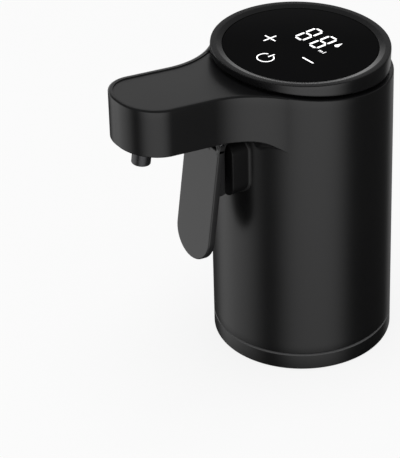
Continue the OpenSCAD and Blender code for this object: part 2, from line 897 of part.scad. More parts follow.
// Hub with two discs and the pins between them that carry the rollers
module pump_rotor() {
    color("#f0f0ee") translate([pump_x, pump_y, rotor_z]) difference() {
        union() {
            cylinder(r = hub_r, h = rotor_h);
            cylinder(r = rotor_r, h = rotor_disc);
            translate([0, 0, rotor_h - rotor_disc]) cylinder(r = rotor_r, h = rotor_disc);
            for (k = [0:roller_count - 1]) {
                rotate([0, 0, k * 360 / roller_count]) translate([roller_ring, 0, 0])
                    cylinder(r = roller_pin, h = rotor_h);
            }
        }
        translate([0, 0, -1]) cylinder(r = shaft_r + run / 2, h = rotor_h + 2);
    }
}

module pump_roller(k) {
    color("#5f93c4") translate([pump_x, pump_y, rotor_z + rotor_disc + pass])
        rotate([0, 0, k * 360 / roller_count]) translate([roller_ring, 0, 0])
        tube(roller_r, roller_pin + run, roller_h);
}

// Tube that goes once round the rotor, with both legs to the front
module pump_tube() {
    arc = [for (a = [180:-15:0]) [pump_x + tube_bend * cos(a), pump_y + tube_bend * sin(a), rotor_mid]];
    path = concat([[leg_x[0], leg_end, rotor_mid]], arc, [[leg_x[1], leg_end, rotor_mid]]);
    color("#dfe3e4") hose(path, [0, 0, 1]);
}

// Hose from the inlet tube, under the pump and up into its first leg
module suction_hose() {
    points = [
        [0, 0, deck_z + inlet_flange_t + fit],
        [0, 0, suction_z],
        [leg_x[0], hose_turn, suction_z],
        [leg_x[0], hose_turn, rotor_mid],
        [leg_x[0], hose_start, rotor_mid]
    ];
    color("#dfe3e4") hose(route(points, hose_bend, 6), [1, 0, 0]);
}

// Hose from the pump's second leg, up the side and along the arm to the nozzle
module delivery_hose() {
    lift = slope_point(-hose_turn, hose_rise);
    points = [
        [leg_x[1], hose_start, rotor_mid],
        [leg_x[1], hose_turn, rotor_mid],
        [leg_x[1], hose_turn, lift[2]],
        slope_point(under_start + 3, hose_rise),
        slope_point(nozzle_front, hose_rise),
        slope_point(nozzle_front, nozzle_top + fit)
    ];
    color("#dfe3e4") hose(route(points, hose_bend, 6), [1, 0, 0]);
}

// Short double spigots that join the hoses to the pump tube
module hose_couplers() {
    color("#b9bcc0") {
        for (x = leg_x) {
            translate([x, leg_end, rotor_mid]) rotate([90, 0, 0]) difference() {
                union() {
                    translate([0, 0, -spigot_l]) cylinder(r = spigot_r, h = spigot_l + coupler_t + coupler_l);
                    cylinder(r = hose_r, h = coupler_t);
                }
                translate([0, 0, -spigot_l - 1]) cylinder(r = spigot_bore, h = span);
            }
        }
    }
}

// Outlet

// Pouring tube under the tip, with a flange inside the arm and a hose spigot
module nozzle() {
    color("#4b4d50") on_slope(under_h) translate([0, -nozzle_front, 0]) difference() {
        union() {
            translate([0, 0, -nozzle_l])
                cylinder(r = nozzle_r, h = nozzle_l + nozzle_top - nozzle_flange_t / 2);
            translate([0, 0, wall + seal_t]) cylinder(r = nozzle_flange, h = nozzle_flange_t);
            translate([0, 0, wall]) cylinder(r = spigot_r, h = hose_rise - hose_bend - wall);
        }
        translate([0, 0, -nozzle_l - 1]) cylinder(r = nozzle_bore, h = nozzle_l + wall + 1);
        translate([0, 0, -nozzle_l]) cylinder(r = spigot_bore, h = span);
    }
}

module nozzle_seal() {
    color("#c7c9cb") on_slope(under_h) translate([0, -nozzle_front, wall])
        tube(nozzle_flange, nozzle_r + run, seal_t);
}

// Display

// Collar that stands on the sloping face: a wedge with a dished face, and a round tuck into the body
module display_collar() {
    tuck_r = inner_r - 2 * fit;
    deep = rim_h - top_h + 3 * body_r * tan(slope);
    color("#3c3d40") difference() {
        union() {
            difference() {
                on_rim() rotate_extrude() {
                    translate([0, -deep]) square([collar_r, deep - collar_edge]);
                    translate([0, -deep]) square([collar_r - collar_edge, deep]);
                    translate([collar_r - collar_edge, -collar_edge]) circle(r = collar_edge);
                }
                below(top_h + collar_seam);
            }
            difference() {
                on_rim() translate([0, 0, -deep]) cylinder(r = tuck_r, h = deep - ledge_low);
                below(top_h - collar_tuck);
            }
        }
        on_rim() {
            translate([0, 0, -lens_low]) cylinder(r = lens_r + fit, h = span);
            translate([0, 0, -dish_drop])
                cylinder(r1 = lens_r + fit, r2 = 2 * dish_r - lens_r - fit, h = 2 * dish_drop);
            translate([0, 0, -deep - 1]) cylinder(r = ledge_r, h = span);
            translate([0, 0, -deep - 1]) cylinder(r = display_board_r + fit, h = deep + 1 - ledge_low);
            display_screw_places() translate([0, 0, -ledge_low - 1])
                cylinder(r = small_r + run, h = display_bite + bite_room + 1);
        }
    }
}

module display_screw_places() {
    for (a = [30, 150, 270]) {
        rotate([0, 0, a]) translate([display_screw_ring, 0, 0]) children();
    }
}

module display_lens() {
    color("#101114") on_rim() translate([0, 0, -lens_low]) cylinder(r = lens_r, h = lens_t);
}

module display_board() {
    color("#1f5b3a") on_rim() difference() {
        translate([0, 0, -board_low]) cylinder(r = display_board_r, h = board_t);
        display_screw_places() translate([0, 0, -board_low - 1])
            cylinder(r = small_r + fit, h = board_t + 2);
    }
}

// Two-digit lamp block behind the window
module digit_module() {
    color("#e8e6df") on_rim() translate([-digits_w / 2, -1, -ledge_low])
        cube([digits_w, digits_h, ledge_t - pass]);
}

// Springy pads that couple the three touch signs to the board
module touch_pads() {
    color("#8a8c8f") on_rim() {
        for (p = [[-touch_side, -touch_row], [0, -touch_front], [touch_side, -touch_row]]) {
            translate([p[0], p[1], -ledge_low]) cylinder(r = touch_r, h = ledge_t);
        }
    }
}

// Trigger

// Hanging plate with round lower end, hinge knuckle and the boss behind it that works the plunger
module trigger_paddle() {
    end_r = paddle_w / 2;
    mid_low = hinge_front + (hinge_z - boss_low) * tan(slope);
    mid_high = hinge_front + (hinge_z - boss_high) * tan(slope);
    color("#6a6b6e") difference() {
        union() {
            translate([0, -hinge_front, hinge_z]) {
                rotate([-slope, 0, 0]) {
                    translate([-paddle_w / 2, -paddle_t / 2, end_r - paddle_l])
                        cube([paddle_w, paddle_t, paddle_l - end_r]);
                    translate([0, paddle_t / 2, end_r - paddle_l]) rotate([90, 0, 0])
                        cylinder(r = end_r, h = paddle_t);
                }
                translate([-paddle_w / 2, 0, 0]) rotate([0, 90, 0]) cylinder(r = knuckle_r, h = paddle_w);
            }
            translate([-boss_w / 2, 0, 0]) rotate([90, 0, 90]) linear_extrude(height = boss_w) polygon([
                [-boss_front, boss_low], [-boss_front, boss_high],
                [-mid_high, boss_high], [-mid_low, boss_low]
            ]);
        }
        translate([-span, -hinge_front, hinge_z]) rotate([0, 90, 0])
            cylinder(r = pin_r + run, h = 2 * span);
        for (x = [-ear_mid, ear_mid]) {
            translate([x - ear_t / 2 - fit, -hinge_front, hinge_z]) {
                rotate([0, 90, 0]) cylinder(r = knuckle_r + pass, h = ear_t + 2 * fit);
                rotate([-slope, 0, 0]) translate([0, -knuckle_r - pass, 0])
                    cube([ear_t + 2 * fit, 2 * (knuckle_r + pass), knuckle_r + pass]);
            }
        }
    }
}

module hinge_pin() {
    color("#c4c7cb") translate([pin_inset - paddle_w / 2, -hinge_front, hinge_z]) rotate([0, 90, 0])
        cylinder(r = pin_r, h = paddle_w - 2 * pin_inset);
}

// Fixed block in front of the body, with a hollow insert that passes through the body wall
module trigger_block() {
    seat_r = body_r + gasket_t;
    color("#3d3e41") difference() {
        union() {
            difference() {
                facing_front() linear_extrude(height = block_front)
                    upright_plan(block_w, block_bottom, block_top, block_r);
                translate([0, 0, -1]) cylinder(r = seat_r, h = span);
            }
            facing_front() translate([0, 0, insert_end])
                linear_extrude(height = block_front - block_wall - insert_end)
                upright_plan(insert_w, insert_low, insert_high, insert_r);
        }
        facing_front() translate([-cavity_w / 2, plunger_z - cavity_h / 2, 0])
            cube([cavity_w, cavity_h, block_front - block_wall]);
        facing_front() translate([0, plunger_z, 0]) cylinder(r = plunger_r + run, h = span);
        bracket_screw_places() translate([0, 0, insert_end - 1])
            cylinder(r = small_r + run, h = bracket_bite + bite_room + 1);
    }
}

// Frame of soft rubber between the block and the round wall
module trigger_gasket() {
    color("#9a9ca0") intersection() {
        difference() {
            facing_front() linear_extrude(height = block_front)
                upright_plan(
                    block_w + 2 * gasket_out, block_bottom - gasket_out, block_top, block_r + gasket_out
                );
            facing_front() translate([0, 0, -1]) linear_extrude(height = block_front + 2)
                upright_plan(insert_w + 2 * fit, insert_low - fit, insert_high + fit, window_r);
        }
        difference() {
            cylinder(r = body_r + gasket_t, h = span);
            translate([0, 0, -1]) cylinder(r = body_r, h = span + 2);
        }
    }
}

module bracket_screw_places() {
    inset = (insert_high - insert_low - cavity_h) / 4;
    for (z = [insert_low + inset, insert_high - inset]) {
        facing_front() translate([0, z, 0]) children();
    }
}

// Round-nosed plunger with a collar that stops it behind the block's front wall
module trigger_plunger() {
    color("#e4e2da") facing_front() translate([0, plunger_z, 0]) {
        translate([0, 0, plunger_end]) cylinder(r = stem_r, h = nose_mid - plunger_end);
        translate([0, 0, collar_front - plunger_collar_t])
            cylinder(r = plunger_r + collar_out, h = plunger_collar_t);
        translate([0, 0, collar_front - plunger_collar_t / 2])
            cylinder(r = plunger_r, h = nose_mid - collar_front + plunger_collar_t / 2);
        translate([0, 0, nose_mid]) sphere(r = plunger_r);
    }
}

spring_path = [
    for (k = [0:spring_rings * spring_curls]) let (t = k / (spring_rings * spring_curls)) [
        spring_r * cos(360 * spring_curls * t),
        -spring_low - (spring_high - spring_low) * t,
        plunger_z + spring_r * sin(360 * spring_curls * t)
    ]
];

// Least gap between points of the wire that are more than half a curl apart
spring_gap = min([
    for (i = [0:len(spring_path) - 1])
        for (j = [i + spring_rings / 2 + 1:1:len(spring_path) - 1]) norm(spring_path[i] - spring_path[j])
]) - 2 * spring_wire;

module return_spring() {
    echo(spring_gap = spring_gap);
    color("#cfd2d6") wire(spring_path, spring_wire, [1, 0, 0]);
}

module trigger_switch() {
    color("#26272a") facing_front() translate([0, plunger_z, insert_end]) {
        translate([-switch_w / 2, -switch_w / 2, 0]) cube([switch_w, switch_w, switch_t]);
        cylinder(r = button_r, h = switch_t + button_t);
    }
}

// Bracket that bears on the inside of the wall, holds the switch and draws the block in
module switch_bracket() {
    color("#bfc2c6") difference() {
        intersection() {
            facing_front()
                translate([-insert_w / 2 - bracket_side, insert_low - bracket_rim, insert_end - bracket_t])
                cube([insert_w + 2 * bracket_side, insert_high - insert_low + 2 * bracket_rim, body_r]);
            cylinder(r = inner_r - touch, h = span);
        }
        facing_front() translate([0, 0, insert_end]) linear_extrude(height = span)
            upright_plan(insert_w + 2 * fit, insert_low - fit, insert_high + fit, window_r);
        bracket_screw_places() cylinder(r = small_r + fit, h = span);
    }
}

// Fasteners

module base_screws() {
    color("#d0d2d4") at_posts() translate([0, 0, screw_head_h + fit]) rotate([180, 0, 0])
        screw(screw_r, screw_head, screw_head_h, base_screw_l);
}

module chassis_screws() {
    color("#d0d2d4") at_posts() translate([0, 0, floor_z])
        screw(screw_r, screw_head, screw_head_h, chassis_screw_l);
}

module bracket_screws() {
    color("#d0d2d4") bracket_screw_places() translate([0, 0, insert_end - bracket_t]) rotate([180, 0, 0])
        screw(small_r, small_head, small_head_h, bracket_t + bracket_bite);
}

module pump_screws() {
    color("#d0d2d4") {
        for (p = pump_screws_at) {
            translate([p[0], p[1], motor_z])
                screw(small_r, small_head, small_head_h, motor_z - pump_z + pump_bite);
        }
    }
}

module cover_screws() {
    color("#d0d2d4") on_slope(under_h) {
        for (p = cover_screws_at) {
            translate([p[0], -p[1], small_head_h]) rotate([180, 0, 0])
                screw(small_r, small_head, small_head_h, cover_hole - small_head_h - bite_room);
        }
    }
}

module display_screws() {
    color("#d0d2d4") on_rim() display_screw_places() translate([0, 0, -board_low]) rotate([180, 0, 0])
        screw(small_r, small_head, small_head_h, board_t + display_bite);
}

body_shell();
spout_cover();
base_ring();
bottle_socket();
socket_deck();
bottle_stopper();
seat_gasket();
inlet_tube();
air_valve();
chassis();
battery();
main_board();
charge_socket();
pump_housing();
pump_cover();
pump_motor();
motor_shaft();
pump_rotor();
pump_roller(0);  // pump_roller_1
pump_roller(1);  // pump_roller_2
pump_roller(2);  // pump_roller_3
pump_tube();
suction_hose();
delivery_hose();
hose_couplers();
nozzle();
nozzle_seal();
display_collar();
display_lens();
display_board();
digit_module();
touch_pads();
trigger_paddle();
hinge_pin();
trigger_block();
trigger_gasket();
trigger_plunger();
return_spring();
trigger_switch();
switch_bracket();
base_screws();
chassis_screws();
bracket_screws();
pump_screws();
cover_screws();
display_screws();
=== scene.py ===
# %% [markdown]
# # A dispenser with a spout arm, a press paddle and a round display
# The solids come from the CAD model and are already in place, in metres.
# Each step below takes one visible piece, works its rounded surface out with numpy,
# and gives it the finish that the real plastic, rubber or metal has.

# %% Load the frame
import json
import math

import bmesh
import bpy
import numpy as np
from mathutils import Matrix, Vector

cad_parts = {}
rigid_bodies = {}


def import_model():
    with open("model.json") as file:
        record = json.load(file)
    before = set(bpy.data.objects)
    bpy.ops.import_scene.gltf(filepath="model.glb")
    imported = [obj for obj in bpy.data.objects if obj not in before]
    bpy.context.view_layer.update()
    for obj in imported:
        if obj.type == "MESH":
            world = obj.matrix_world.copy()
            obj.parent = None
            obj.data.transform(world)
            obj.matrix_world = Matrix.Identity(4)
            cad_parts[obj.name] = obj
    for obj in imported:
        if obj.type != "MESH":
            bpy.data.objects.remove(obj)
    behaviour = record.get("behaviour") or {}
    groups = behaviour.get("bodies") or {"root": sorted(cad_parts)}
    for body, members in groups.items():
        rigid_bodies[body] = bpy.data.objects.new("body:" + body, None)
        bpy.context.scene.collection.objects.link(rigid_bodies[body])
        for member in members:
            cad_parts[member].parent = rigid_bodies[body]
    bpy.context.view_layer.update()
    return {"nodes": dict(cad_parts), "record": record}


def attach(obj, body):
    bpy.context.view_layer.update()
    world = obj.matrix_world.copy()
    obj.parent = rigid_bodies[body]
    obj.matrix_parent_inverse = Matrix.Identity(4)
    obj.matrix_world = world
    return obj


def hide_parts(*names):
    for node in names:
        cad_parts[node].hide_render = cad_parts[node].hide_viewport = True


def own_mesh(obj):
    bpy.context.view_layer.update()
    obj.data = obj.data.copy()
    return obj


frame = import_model()

# %% [markdown]
# ## The camera
# The place, turn and focal length were found from the outlines of the round body, the base,
# the display ring and the arm. A long lens from 0.8 m away keeps the upright edges nearly parallel.

# %% Camera
MM = 0.001
IMAGE = (400, 458)
FILM_W, NEAREST, FARTHEST = 36, 0.05, 20


def place_camera(azimuth, elevation, roll, spot, focal_px):
    """Looks along minus back, where back = (sin a cos e, -cos a cos e, sin e), then turns by roll."""
    a, e, k = np.radians([azimuth, elevation, roll])
    back = np.array([np.sin(a) * np.cos(e), -np.cos(a) * np.cos(e), np.sin(e)])
    right = np.array([np.cos(a), np.sin(a), 0.0])
    up = np.cross(back, right)
    right, up = right * np.cos(k) + up * np.sin(k), up * np.cos(k) - right * np.sin(k)
    data = bpy.data.cameras.new("view")
    data.sensor_fit = "AUTO"
    data.sensor_width = FILM_W
    data.lens = focal_px * FILM_W / max(IMAGE)
    data.clip_start, data.clip_end = NEAREST, FARTHEST
    camera = bpy.data.objects.new("view", data)
    rows = np.eye(4)
    rows[:3, :3] = np.stack([right, up, back], 1)
    rows[:3, 3] = np.array(spot) * MM
    camera.matrix_world = Matrix(rows.tolist())
    bpy.context.scene.collection.objects.link(camera)
    bpy.context.scene.camera = camera
    return camera


TURN_OF_ARM, AXIS_DISTANCE, EYE_HEIGHT = 54.023, 649.568, 463.424
AIM_ASIDE, LOOK_DOWN, ROLL, FOCAL_PX = 2.606, 33.586, -1.696, 2679.23
arm_turn = math.radians(TURN_OF_ARM)
eye = (AXIS_DISTANCE * math.sin(arm_turn), -AXIS_DISTANCE * math.cos(arm_turn), EYE_HEIGHT)
camera = place_camera(TURN_OF_ARM + AIM_ASIDE, LOOK_DOWN, ROLL, eye, FOCAL_PX)
print("camera at", np.round(camera.location, 4).tolist(), "lens", round(camera.data.lens, 1), "mm")

# %% [markdown]
# ## Surfaces as grids
# A piece is one or more grids of points. Where the first and last column meet, or where two grids
# share an edge, the points are merged, so the light runs over the seam without a break.

# %% From grids to a piece
MERGE, SLIVER = 2e-6, 1e-7


def cells(rows, cols, start):
    """Quads of a rows by cols grid of points: point (i, j) has the number start + i * cols + j."""
    i, j = np.meshgrid(np.arange(rows - 1), np.arange(cols - 1), indexing="ij")
    a = start + i * cols + j
    return np.stack([a, a + 1, a + cols + 1, a + cols], -1).reshape(-1, 4)


def piece(name, grids, finish, body="body", stands_for=(), crease=40, trim=None):
    """Joins grids of points in millimetres into one mesh in metres that rides on a body.

    With a trim finish, the first grid takes that finish and the others keep the main one.
    """
    starts = np.cumsum([0] + [g.shape[0] * g.shape[1] for g in grids])
    points = np.concatenate([g.reshape(-1, 3) for g in grids]) * MM
    quads = np.concatenate([cells(g.shape[0], g.shape[1], s) for g, s in zip(grids, starts)])
    mesh = bpy.data.meshes.new(name)
    mesh.from_pydata(points.tolist(), [], quads.tolist())
    if trim:
        first = (grids[0].shape[0] - 1) * (grids[0].shape[1] - 1)
        mesh.polygons.foreach_set("material_index", (np.arange(len(quads)) < first).astype(np.int32))
    work = bmesh.new()
    work.from_mesh(mesh)
    bmesh.ops.remove_doubles(work, verts=work.verts, dist=MERGE)
    bmesh.ops.dissolve_degenerate(work, edges=work.edges, dist=SLIVER)
    bmesh.ops.recalc_face_normals(work, faces=work.faces)
    work.to_mesh(mesh)
    work.free()
    mesh.shade_smooth()
    mesh.set_sharp_from_angle(angle=math.radians(crease))
    for each in (finish, trim) if trim else (finish,):
        mesh.materials.append(each)
    made = bpy.data.objects.new(name, mesh)
    bpy.context.scene.collection.objects.link(made)
    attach(made, body)
    if stands_for:
        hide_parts(*stands_for)
    print(name, "-", len(mesh.polygons), "faces")
    return made


# %% Profiles and turned shapes
STRAIGHT = 1.56


def rounded(corners, steps=6):
    """Polyline through corners of two or three coordinates and a radius; an arc stands for each corner.

    The arc touches both legs at radius / tan(half the corner's angle) from the corner.
    """
    c = np.array(corners, float)
    out = [c[0, :-1]]
    for k in range(1, len(c) - 1):
        p, r = c[k, :-1], c[k, -1]
        u = (c[k - 1, :-1] - p) / np.linalg.norm(c[k - 1, :-1] - p)
        w = (c[k + 1, :-1] - p) / np.linalg.norm(c[k + 1, :-1] - p)
        half = math.acos(np.clip(u @ w, -1, 1)) / 2
        if r == 0 or half > STRAIGHT:
            out.append(p)
            continue
        middle = p + (u + w) / np.linalg.norm(u + w) * r / math.sin(half)
        side = (p + u * r / math.tan(half) - middle) / r
        t = np.linspace(0, math.pi - 2 * half, steps + 1)[:, None]
        out.extend(middle + r * (side * np.cos(t) - u * np.sin(t)))
    out.append(c[-1, :-1])
    return np.array(out)


def lathe(profile, turns=128):
    """Turns a profile of (radius, height) about Z: point = (r cos t, r sin t, h)."""
    t = np.linspace(0, 2 * np.pi, turns + 1)
    r, h = profile[:, :1], profile[:, 1:]
    return np.stack([r * np.cos(t), r * np.sin(t), h + 0 * t], -1)


def tilted(points, angle, lift):
    """Turns points by -angle about X, so that the arm side rises, then lifts them."""
    c, s = math.cos(angle), math.sin(angle)
    x, y, z = np.moveaxis(points, -1, 0)
    return np.stack([x, y * c + z * s, z * c - y * s + lift], -1)


# %% [markdown]
# ## Finishes
# Every finish reads Object coordinates. A slow cloud shifts the colour and the gloss a little, as in
# real moulding, and a fine grain lifts the surface by up to a hundredth of a millimetre.

# %% Finish helper


def finish(name, colour, roughness, spread=0.15, cloud_mm=18, grain_mm=0.3, bump=0.1, depth_mm=0.01,
           stretch=(1, 1, 1), rough_spread=0.05, **sockets):
    """Principled finish: colour times (1 +- spread) by a cloud, roughness +- rough_spread, grain as bump."""
    made = bpy.data.materials.new(name)
    made.use_nodes = True
    nodes, links = made.node_tree.nodes, made.node_tree.links
    shader = nodes["Principled BSDF"]
    for socket, value in sockets.items():
        shader.inputs[socket.replace("_", " ")].default_value = value
    where = nodes.new("ShaderNodeTexCoord")
    placed = nodes.new("ShaderNodeMapping")
    placed.inputs["Scale"].default_value = stretch
    links.new(where.outputs["Object"], placed.inputs["Vector"])
    cloud = nodes.new("ShaderNodeTexNoise")
    cloud.inputs["Scale"].default_value = 1 / (cloud_mm * MM)
    cloud.inputs["Detail"].default_value = 3
    links.new(placed.outputs["Vector"], cloud.inputs["Vector"])
    tint = nodes.new("ShaderNodeMix")
    tint.data_type = "RGBA"
    tint.inputs["A"].default_value = (*[c * (1 - spread) for c in colour], 1)
    tint.inputs["B"].default_value = (*[min(1, c * (1 + spread)) for c in colour], 1)
    links.new(cloud.outputs["Fac"], tint.inputs["Factor"])
    links.new(tint.outputs["Result"], shader.inputs["Base Color"])
    gloss = nodes.new("ShaderNodeMapRange")
    gloss.inputs["To Min"].default_value = max(0.02, roughness - rough_spread)
    gloss.inputs["To Max"].default_value = roughness + rough_spread
    links.new(cloud.outputs["Fac"], gloss.inputs["Value"])
    links.new(gloss.outputs["Result"], shader.inputs["Roughness"])
    grain = nodes.new("ShaderNodeTexNoise")
    grain.inputs["Scale"].default_value = 1 / (grain_mm * MM)
    grain.inputs["Detail"].default_value = 2
    links.new(placed.outputs["Vector"], grain.inputs["Vector"])
    lift = nodes.new("ShaderNodeBump")
    lift.inputs["Strength"].default_value = bump
    lift.inputs["Distance"].default_value = depth_mm * MM
    links.new(grain.outputs["Fac"], lift.inputs["Height"])
    links.new(lift.outputs["Normal"], shader.inputs["Normal"])
    return made


# %% Finishes of the pieces
satin_black = finish("satin_black_moulding", (0.0055, 0.0055, 0.0058), 0.29, rough_spread=0.02)
ring_black = finish("satin_black_ring", (0.0055, 0.0055, 0.0058), 0.22, rough_spread=0.02)
window_black = finish("black_window", (0.0046, 0.0046, 0.0048), 0.08, bump=0.0, cloud_mm=30,
                      rough_spread=0.02, Specular_IOR_Level=0.003)
paddle_grey = finish("paddle_grey", (0.019, 0.019, 0.0195), 0.32, rough_spread=0.02)
# Painted shade: the block is the same black moulding as the shell, in a darker, less shiny copy for the shade
# under the arm.
block_painted_shade_black = finish("block_painted_shade_black", (0.005, 0.005, 0.0052), 0.38, rough_spread=0.02, Specular_IOR_Level=0.2)
# Painted highlight: the base ring's bevel gets a lighter grey, for the thin pale line where its edge catches
# the light.
bevel_highlight_grey = finish("painted_highlight_edge", (0.11, 0.11, 0.112), 0.3, rough_spread=0.02)
finishes = {
    "shell": satin_black,
    "collar": ring_black,
    "lens": window_black,
    "paddle": paddle_grey,
    "gasket": finish("black_gasket", (0.007, 0.007, 0.007), 0.5, bump=0.2),
    "nozzle": finish("nozzle_grey", (0.06, 0.06, 0.063), 0.28, Metallic=0.7),
    "steel": finish("bright_steel", (0.62, 0.63, 0.65), 0.25, stretch=(1, 1, 6), Metallic=1.0),
    "silicone": finish("grey_silicone", (0.20, 0.205, 0.21), 0.55, bump=0.2, Subsurface_Weight=0.1),
    "hose": finish("clear_hose", (0.62, 0.64, 0.65), 0.3, Transmission_Weight=0.3),
    "white_plastic": finish("white_moulding", (0.72, 0.72, 0.70), 0.45, spread=0.05),
    "grey_plastic": finish("grey_moulding", (0.42, 0.43, 0.44), 0.5, spread=0.08),
    "board": finish("green_board", (0.02, 0.11, 0.05), 0.35, cloud_mm=3, spread=0.3),
    "cell": finish("blue_cell_wrap", (0.03, 0.10, 0.30), 0.22, spread=0.1),
    "motor": finish("motor_can", (0.45, 0.46, 0.48), 0.3, stretch=(1, 1, 0.1), Metallic=1.0),
    "roller": finish("blue_roller", (0.08, 0.22, 0.45), 0.3, spread=0.1),
    "black_plastic": finish("plain_black_moulding", (0.02, 0.02, 0.021), 0.5),
}
slots = {part["node"]: part["material_slot"] for part in frame["record"]["subparts"]}
for node, thing in frame["nodes"].items():
    thing.data.materials.clear()
    thing.data.materials.append(finishes[slots[node]])
print(len(finishes), "finishes on", len(slots), "solids")

# %% [markdown]
# ## The body and its arm
# One moulding: a round body whose plan flows into an arm through two hollow curves. Both the top face
# and the arm's underside are planes that rise towards the tip, so the height of a point depends only on
# how far it lies along the arm. The plan can be set in by any distance d with exact arcs, and every edge
# is rounded by letting d and the height run together round a quarter turn. The arm's top is a panel that
# lies a little lower than the rim round it.

# %% Plan of the moulding
BODY_R, INNER_R, FOOT = 26.0, 24.0, 5.5
TOP_H, UNDER_H, RISE = 88.5, 73.9, math.radians(7.9)
REACH, HALF_W, TIP_R, FLOW_R = 61.2, 11.3, 10.5, 28.0
FLOW = (HALF_W + FLOW_R, -math.sqrt((BODY_R + FLOW_R) ** 2 - (HALF_W + FLOW_R) ** 2))
MEET = math.atan2(FLOW[1], FLOW[0])
BACK_N = 181


def arc(middle, r, start, end, n):
    """Points middle + r (cos t, sin t), with t from start to end."""
    t = np.linspace(start, end, n)
    return np.stack([middle[0] + r * np.cos(t), middle[1] + r * np.sin(t)], -1)


def line(a, b, n):
    """Points a + t (b - a), with t from 0 to 1."""
    t = np.linspace(0, 1, n)[:, None]
    return np.array(a) + t * (np.array(b) - np.array(a))


def arm_outline(d):
    """Plan of the arm set in by d, from the left meeting point round the tip to the right one."""
    left = np.concatenate([
        arc((-FLOW[0], FLOW[1]), FLOW_R + d, -MEET, 0, 41),
        line((d - HALF_W, FLOW[1]), (d - HALF_W, TIP_R - REACH), 13)[1:],
        arc((TIP_R - HALF_W, TIP_R - REACH), TIP_R - d, math.pi, 1.5 * math.pi, 37)[1:],
        line((TIP_R - HALF_W, d - REACH), (0, d - REACH), 4)[1:],
    ])
    right = left[-2::-1] * [-1, 1]
    return np.concatenate([left, right])


def back_outline(d):
    """Round back of the body set in by d, from the right meeting point to the left one."""
    return arc((0, 0), BODY_R - d, MEET, math.pi - MEET, BACK_N)


print("arm outline points:", len(arm_outline(0)), "meeting point:", np.round(arm_outline(0)[0], 2).tolist())

# %% Heights of the top face and the underside
UNDER_R, UNDER_START, BEYOND_TIP = 20.0, 28.0, 90
bend = np.linspace(0, UNDER_START, 200)
sink = np.sqrt(UNDER_R**2 - np.minimum(UNDER_START - bend, UNDER_R) ** 2) - UNDER_R
bend_s = np.append(bend * math.cos(RISE) - sink * math.sin(RISE), BEYOND_TIP * math.cos(RISE))
bend_z = np.append(bend * math.sin(RISE) + sink * math.cos(RISE), BEYOND_TIP * math.sin(RISE)) + UNDER_H


def top_z(xy):
    """Height of the sloping top face: it rises by tan(rise) towards the tip, which is at minus Y."""
    return TOP_H - xy[..., 1] * math.tan(RISE)


def under_z(xy):
    """Height of the underside: a plane that runs into a hollow curve towards the body."""
    return np.interp(-xy[..., 1], bend_s, bend_z)


print("underside at the meeting point:", round(float(under_z(arm_outline(0)[0])), 2))

# %% Rows over the top and down the wall
OPENING_DEEP, WALL_EDGE, INSIDE_UP = 3, 0.15, 4
PANEL_SINK, PANEL_FADE, RIM_FLAT, RIM_STEP = 0.28, 2.0, 0.7, 0.15
PANEL_SHARES = (0, 0.04, 0.3, 0.65, 0.96, 1.0)


def stack(xy, z):
    """Points of a plan with their heights as third coordinate."""
    return np.concatenate([xy, z[..., None]], -1)


def top_rows(outline, inner_angles, edge):
    """Rows from the round opening over the sunk panel, up to the rim and round the edge.

    The panel lies lower than the rim by a depth that fades out where the arm's wall nears the body's circle.
    On the edge the plan is set in by edge (1 - cos q) and lies edge (1 - sin q) below the rim.
    """
    inner = np.stack([INNER_R * np.cos(inner_angles), INNER_R * np.sin(inner_angles)], -1)
    panel = outline(edge + RIM_FLAT + RIM_STEP)
    sunk = PANEL_SINK * np.clip((np.hypot(*outline(0).T) - BODY_R) / PANEL_FADE, 0, 1)
    rows = [stack(inner, top_z(inner) - OPENING_DEEP)]
    for w in PANEL_SHARES:
        xy = inner + w * (panel - inner)
        rows.append(stack(xy, top_z(xy) - sunk))
    for d in (edge + RIM_FLAT, edge):
        rows.append(stack(outline(d), top_z(outline(d))))
    for q in np.linspace(np.pi / 2, 0, 11)[1:]:
        xy = outline(edge * (1 - np.cos(q)))
        rows.append(stack(xy, top_z(xy) - edge * (1 - np.sin(q))))
    return rows


def down(rows, target, n):
    """Adds n rows that go straight down from the last row to the target heights."""
    start = rows[-1]
    for w in np.linspace(0, 1, n + 1)[1:]:
        row = start.copy()
        row[:, 2] = start[:, 2] + w * (target - start[:, 2])
        rows.append(row)


def foot_rows(rows, outline):
    """Rounded lower edge of the body wall, its lower face and a short way up inside."""
    for q in np.linspace(0, np.pi / 2, 7)[1:]:
        xy = outline(WALL_EDGE * (1 - np.cos(q)))
        rows.append(stack(xy, np.full(len(xy), FOOT + WALL_EDGE * (1 - np.sin(q)))))
    xy = outline(BODY_R - INNER_R)
    for up in (0, INSIDE_UP):
        rows.append(stack(xy, np.full(len(xy), FOOT + up)))


# %% Back of the body
BACK_EDGE = 0.3
LEVELS = [60, 54, 50, 48, 47, 46, 45, 44, 43, 42, 41, 40, 36, 30, 24, 18, 12, 8, FOOT + WALL_EDGE]
back = top_rows(back_outline, np.linspace(MEET, math.pi - MEET, BACK_N), BACK_EDGE)
down(back, np.full(BACK_N, float(under_z(arm_outline(0)[0]))), 6)
first_level = len(back)
for level in LEVELS:
    row = back[-1].copy()
    row[:, 2] = level
    back.append(row)
foot_rows(back, back_outline)
back = np.stack(back)
print("back of the body:", back.shape)

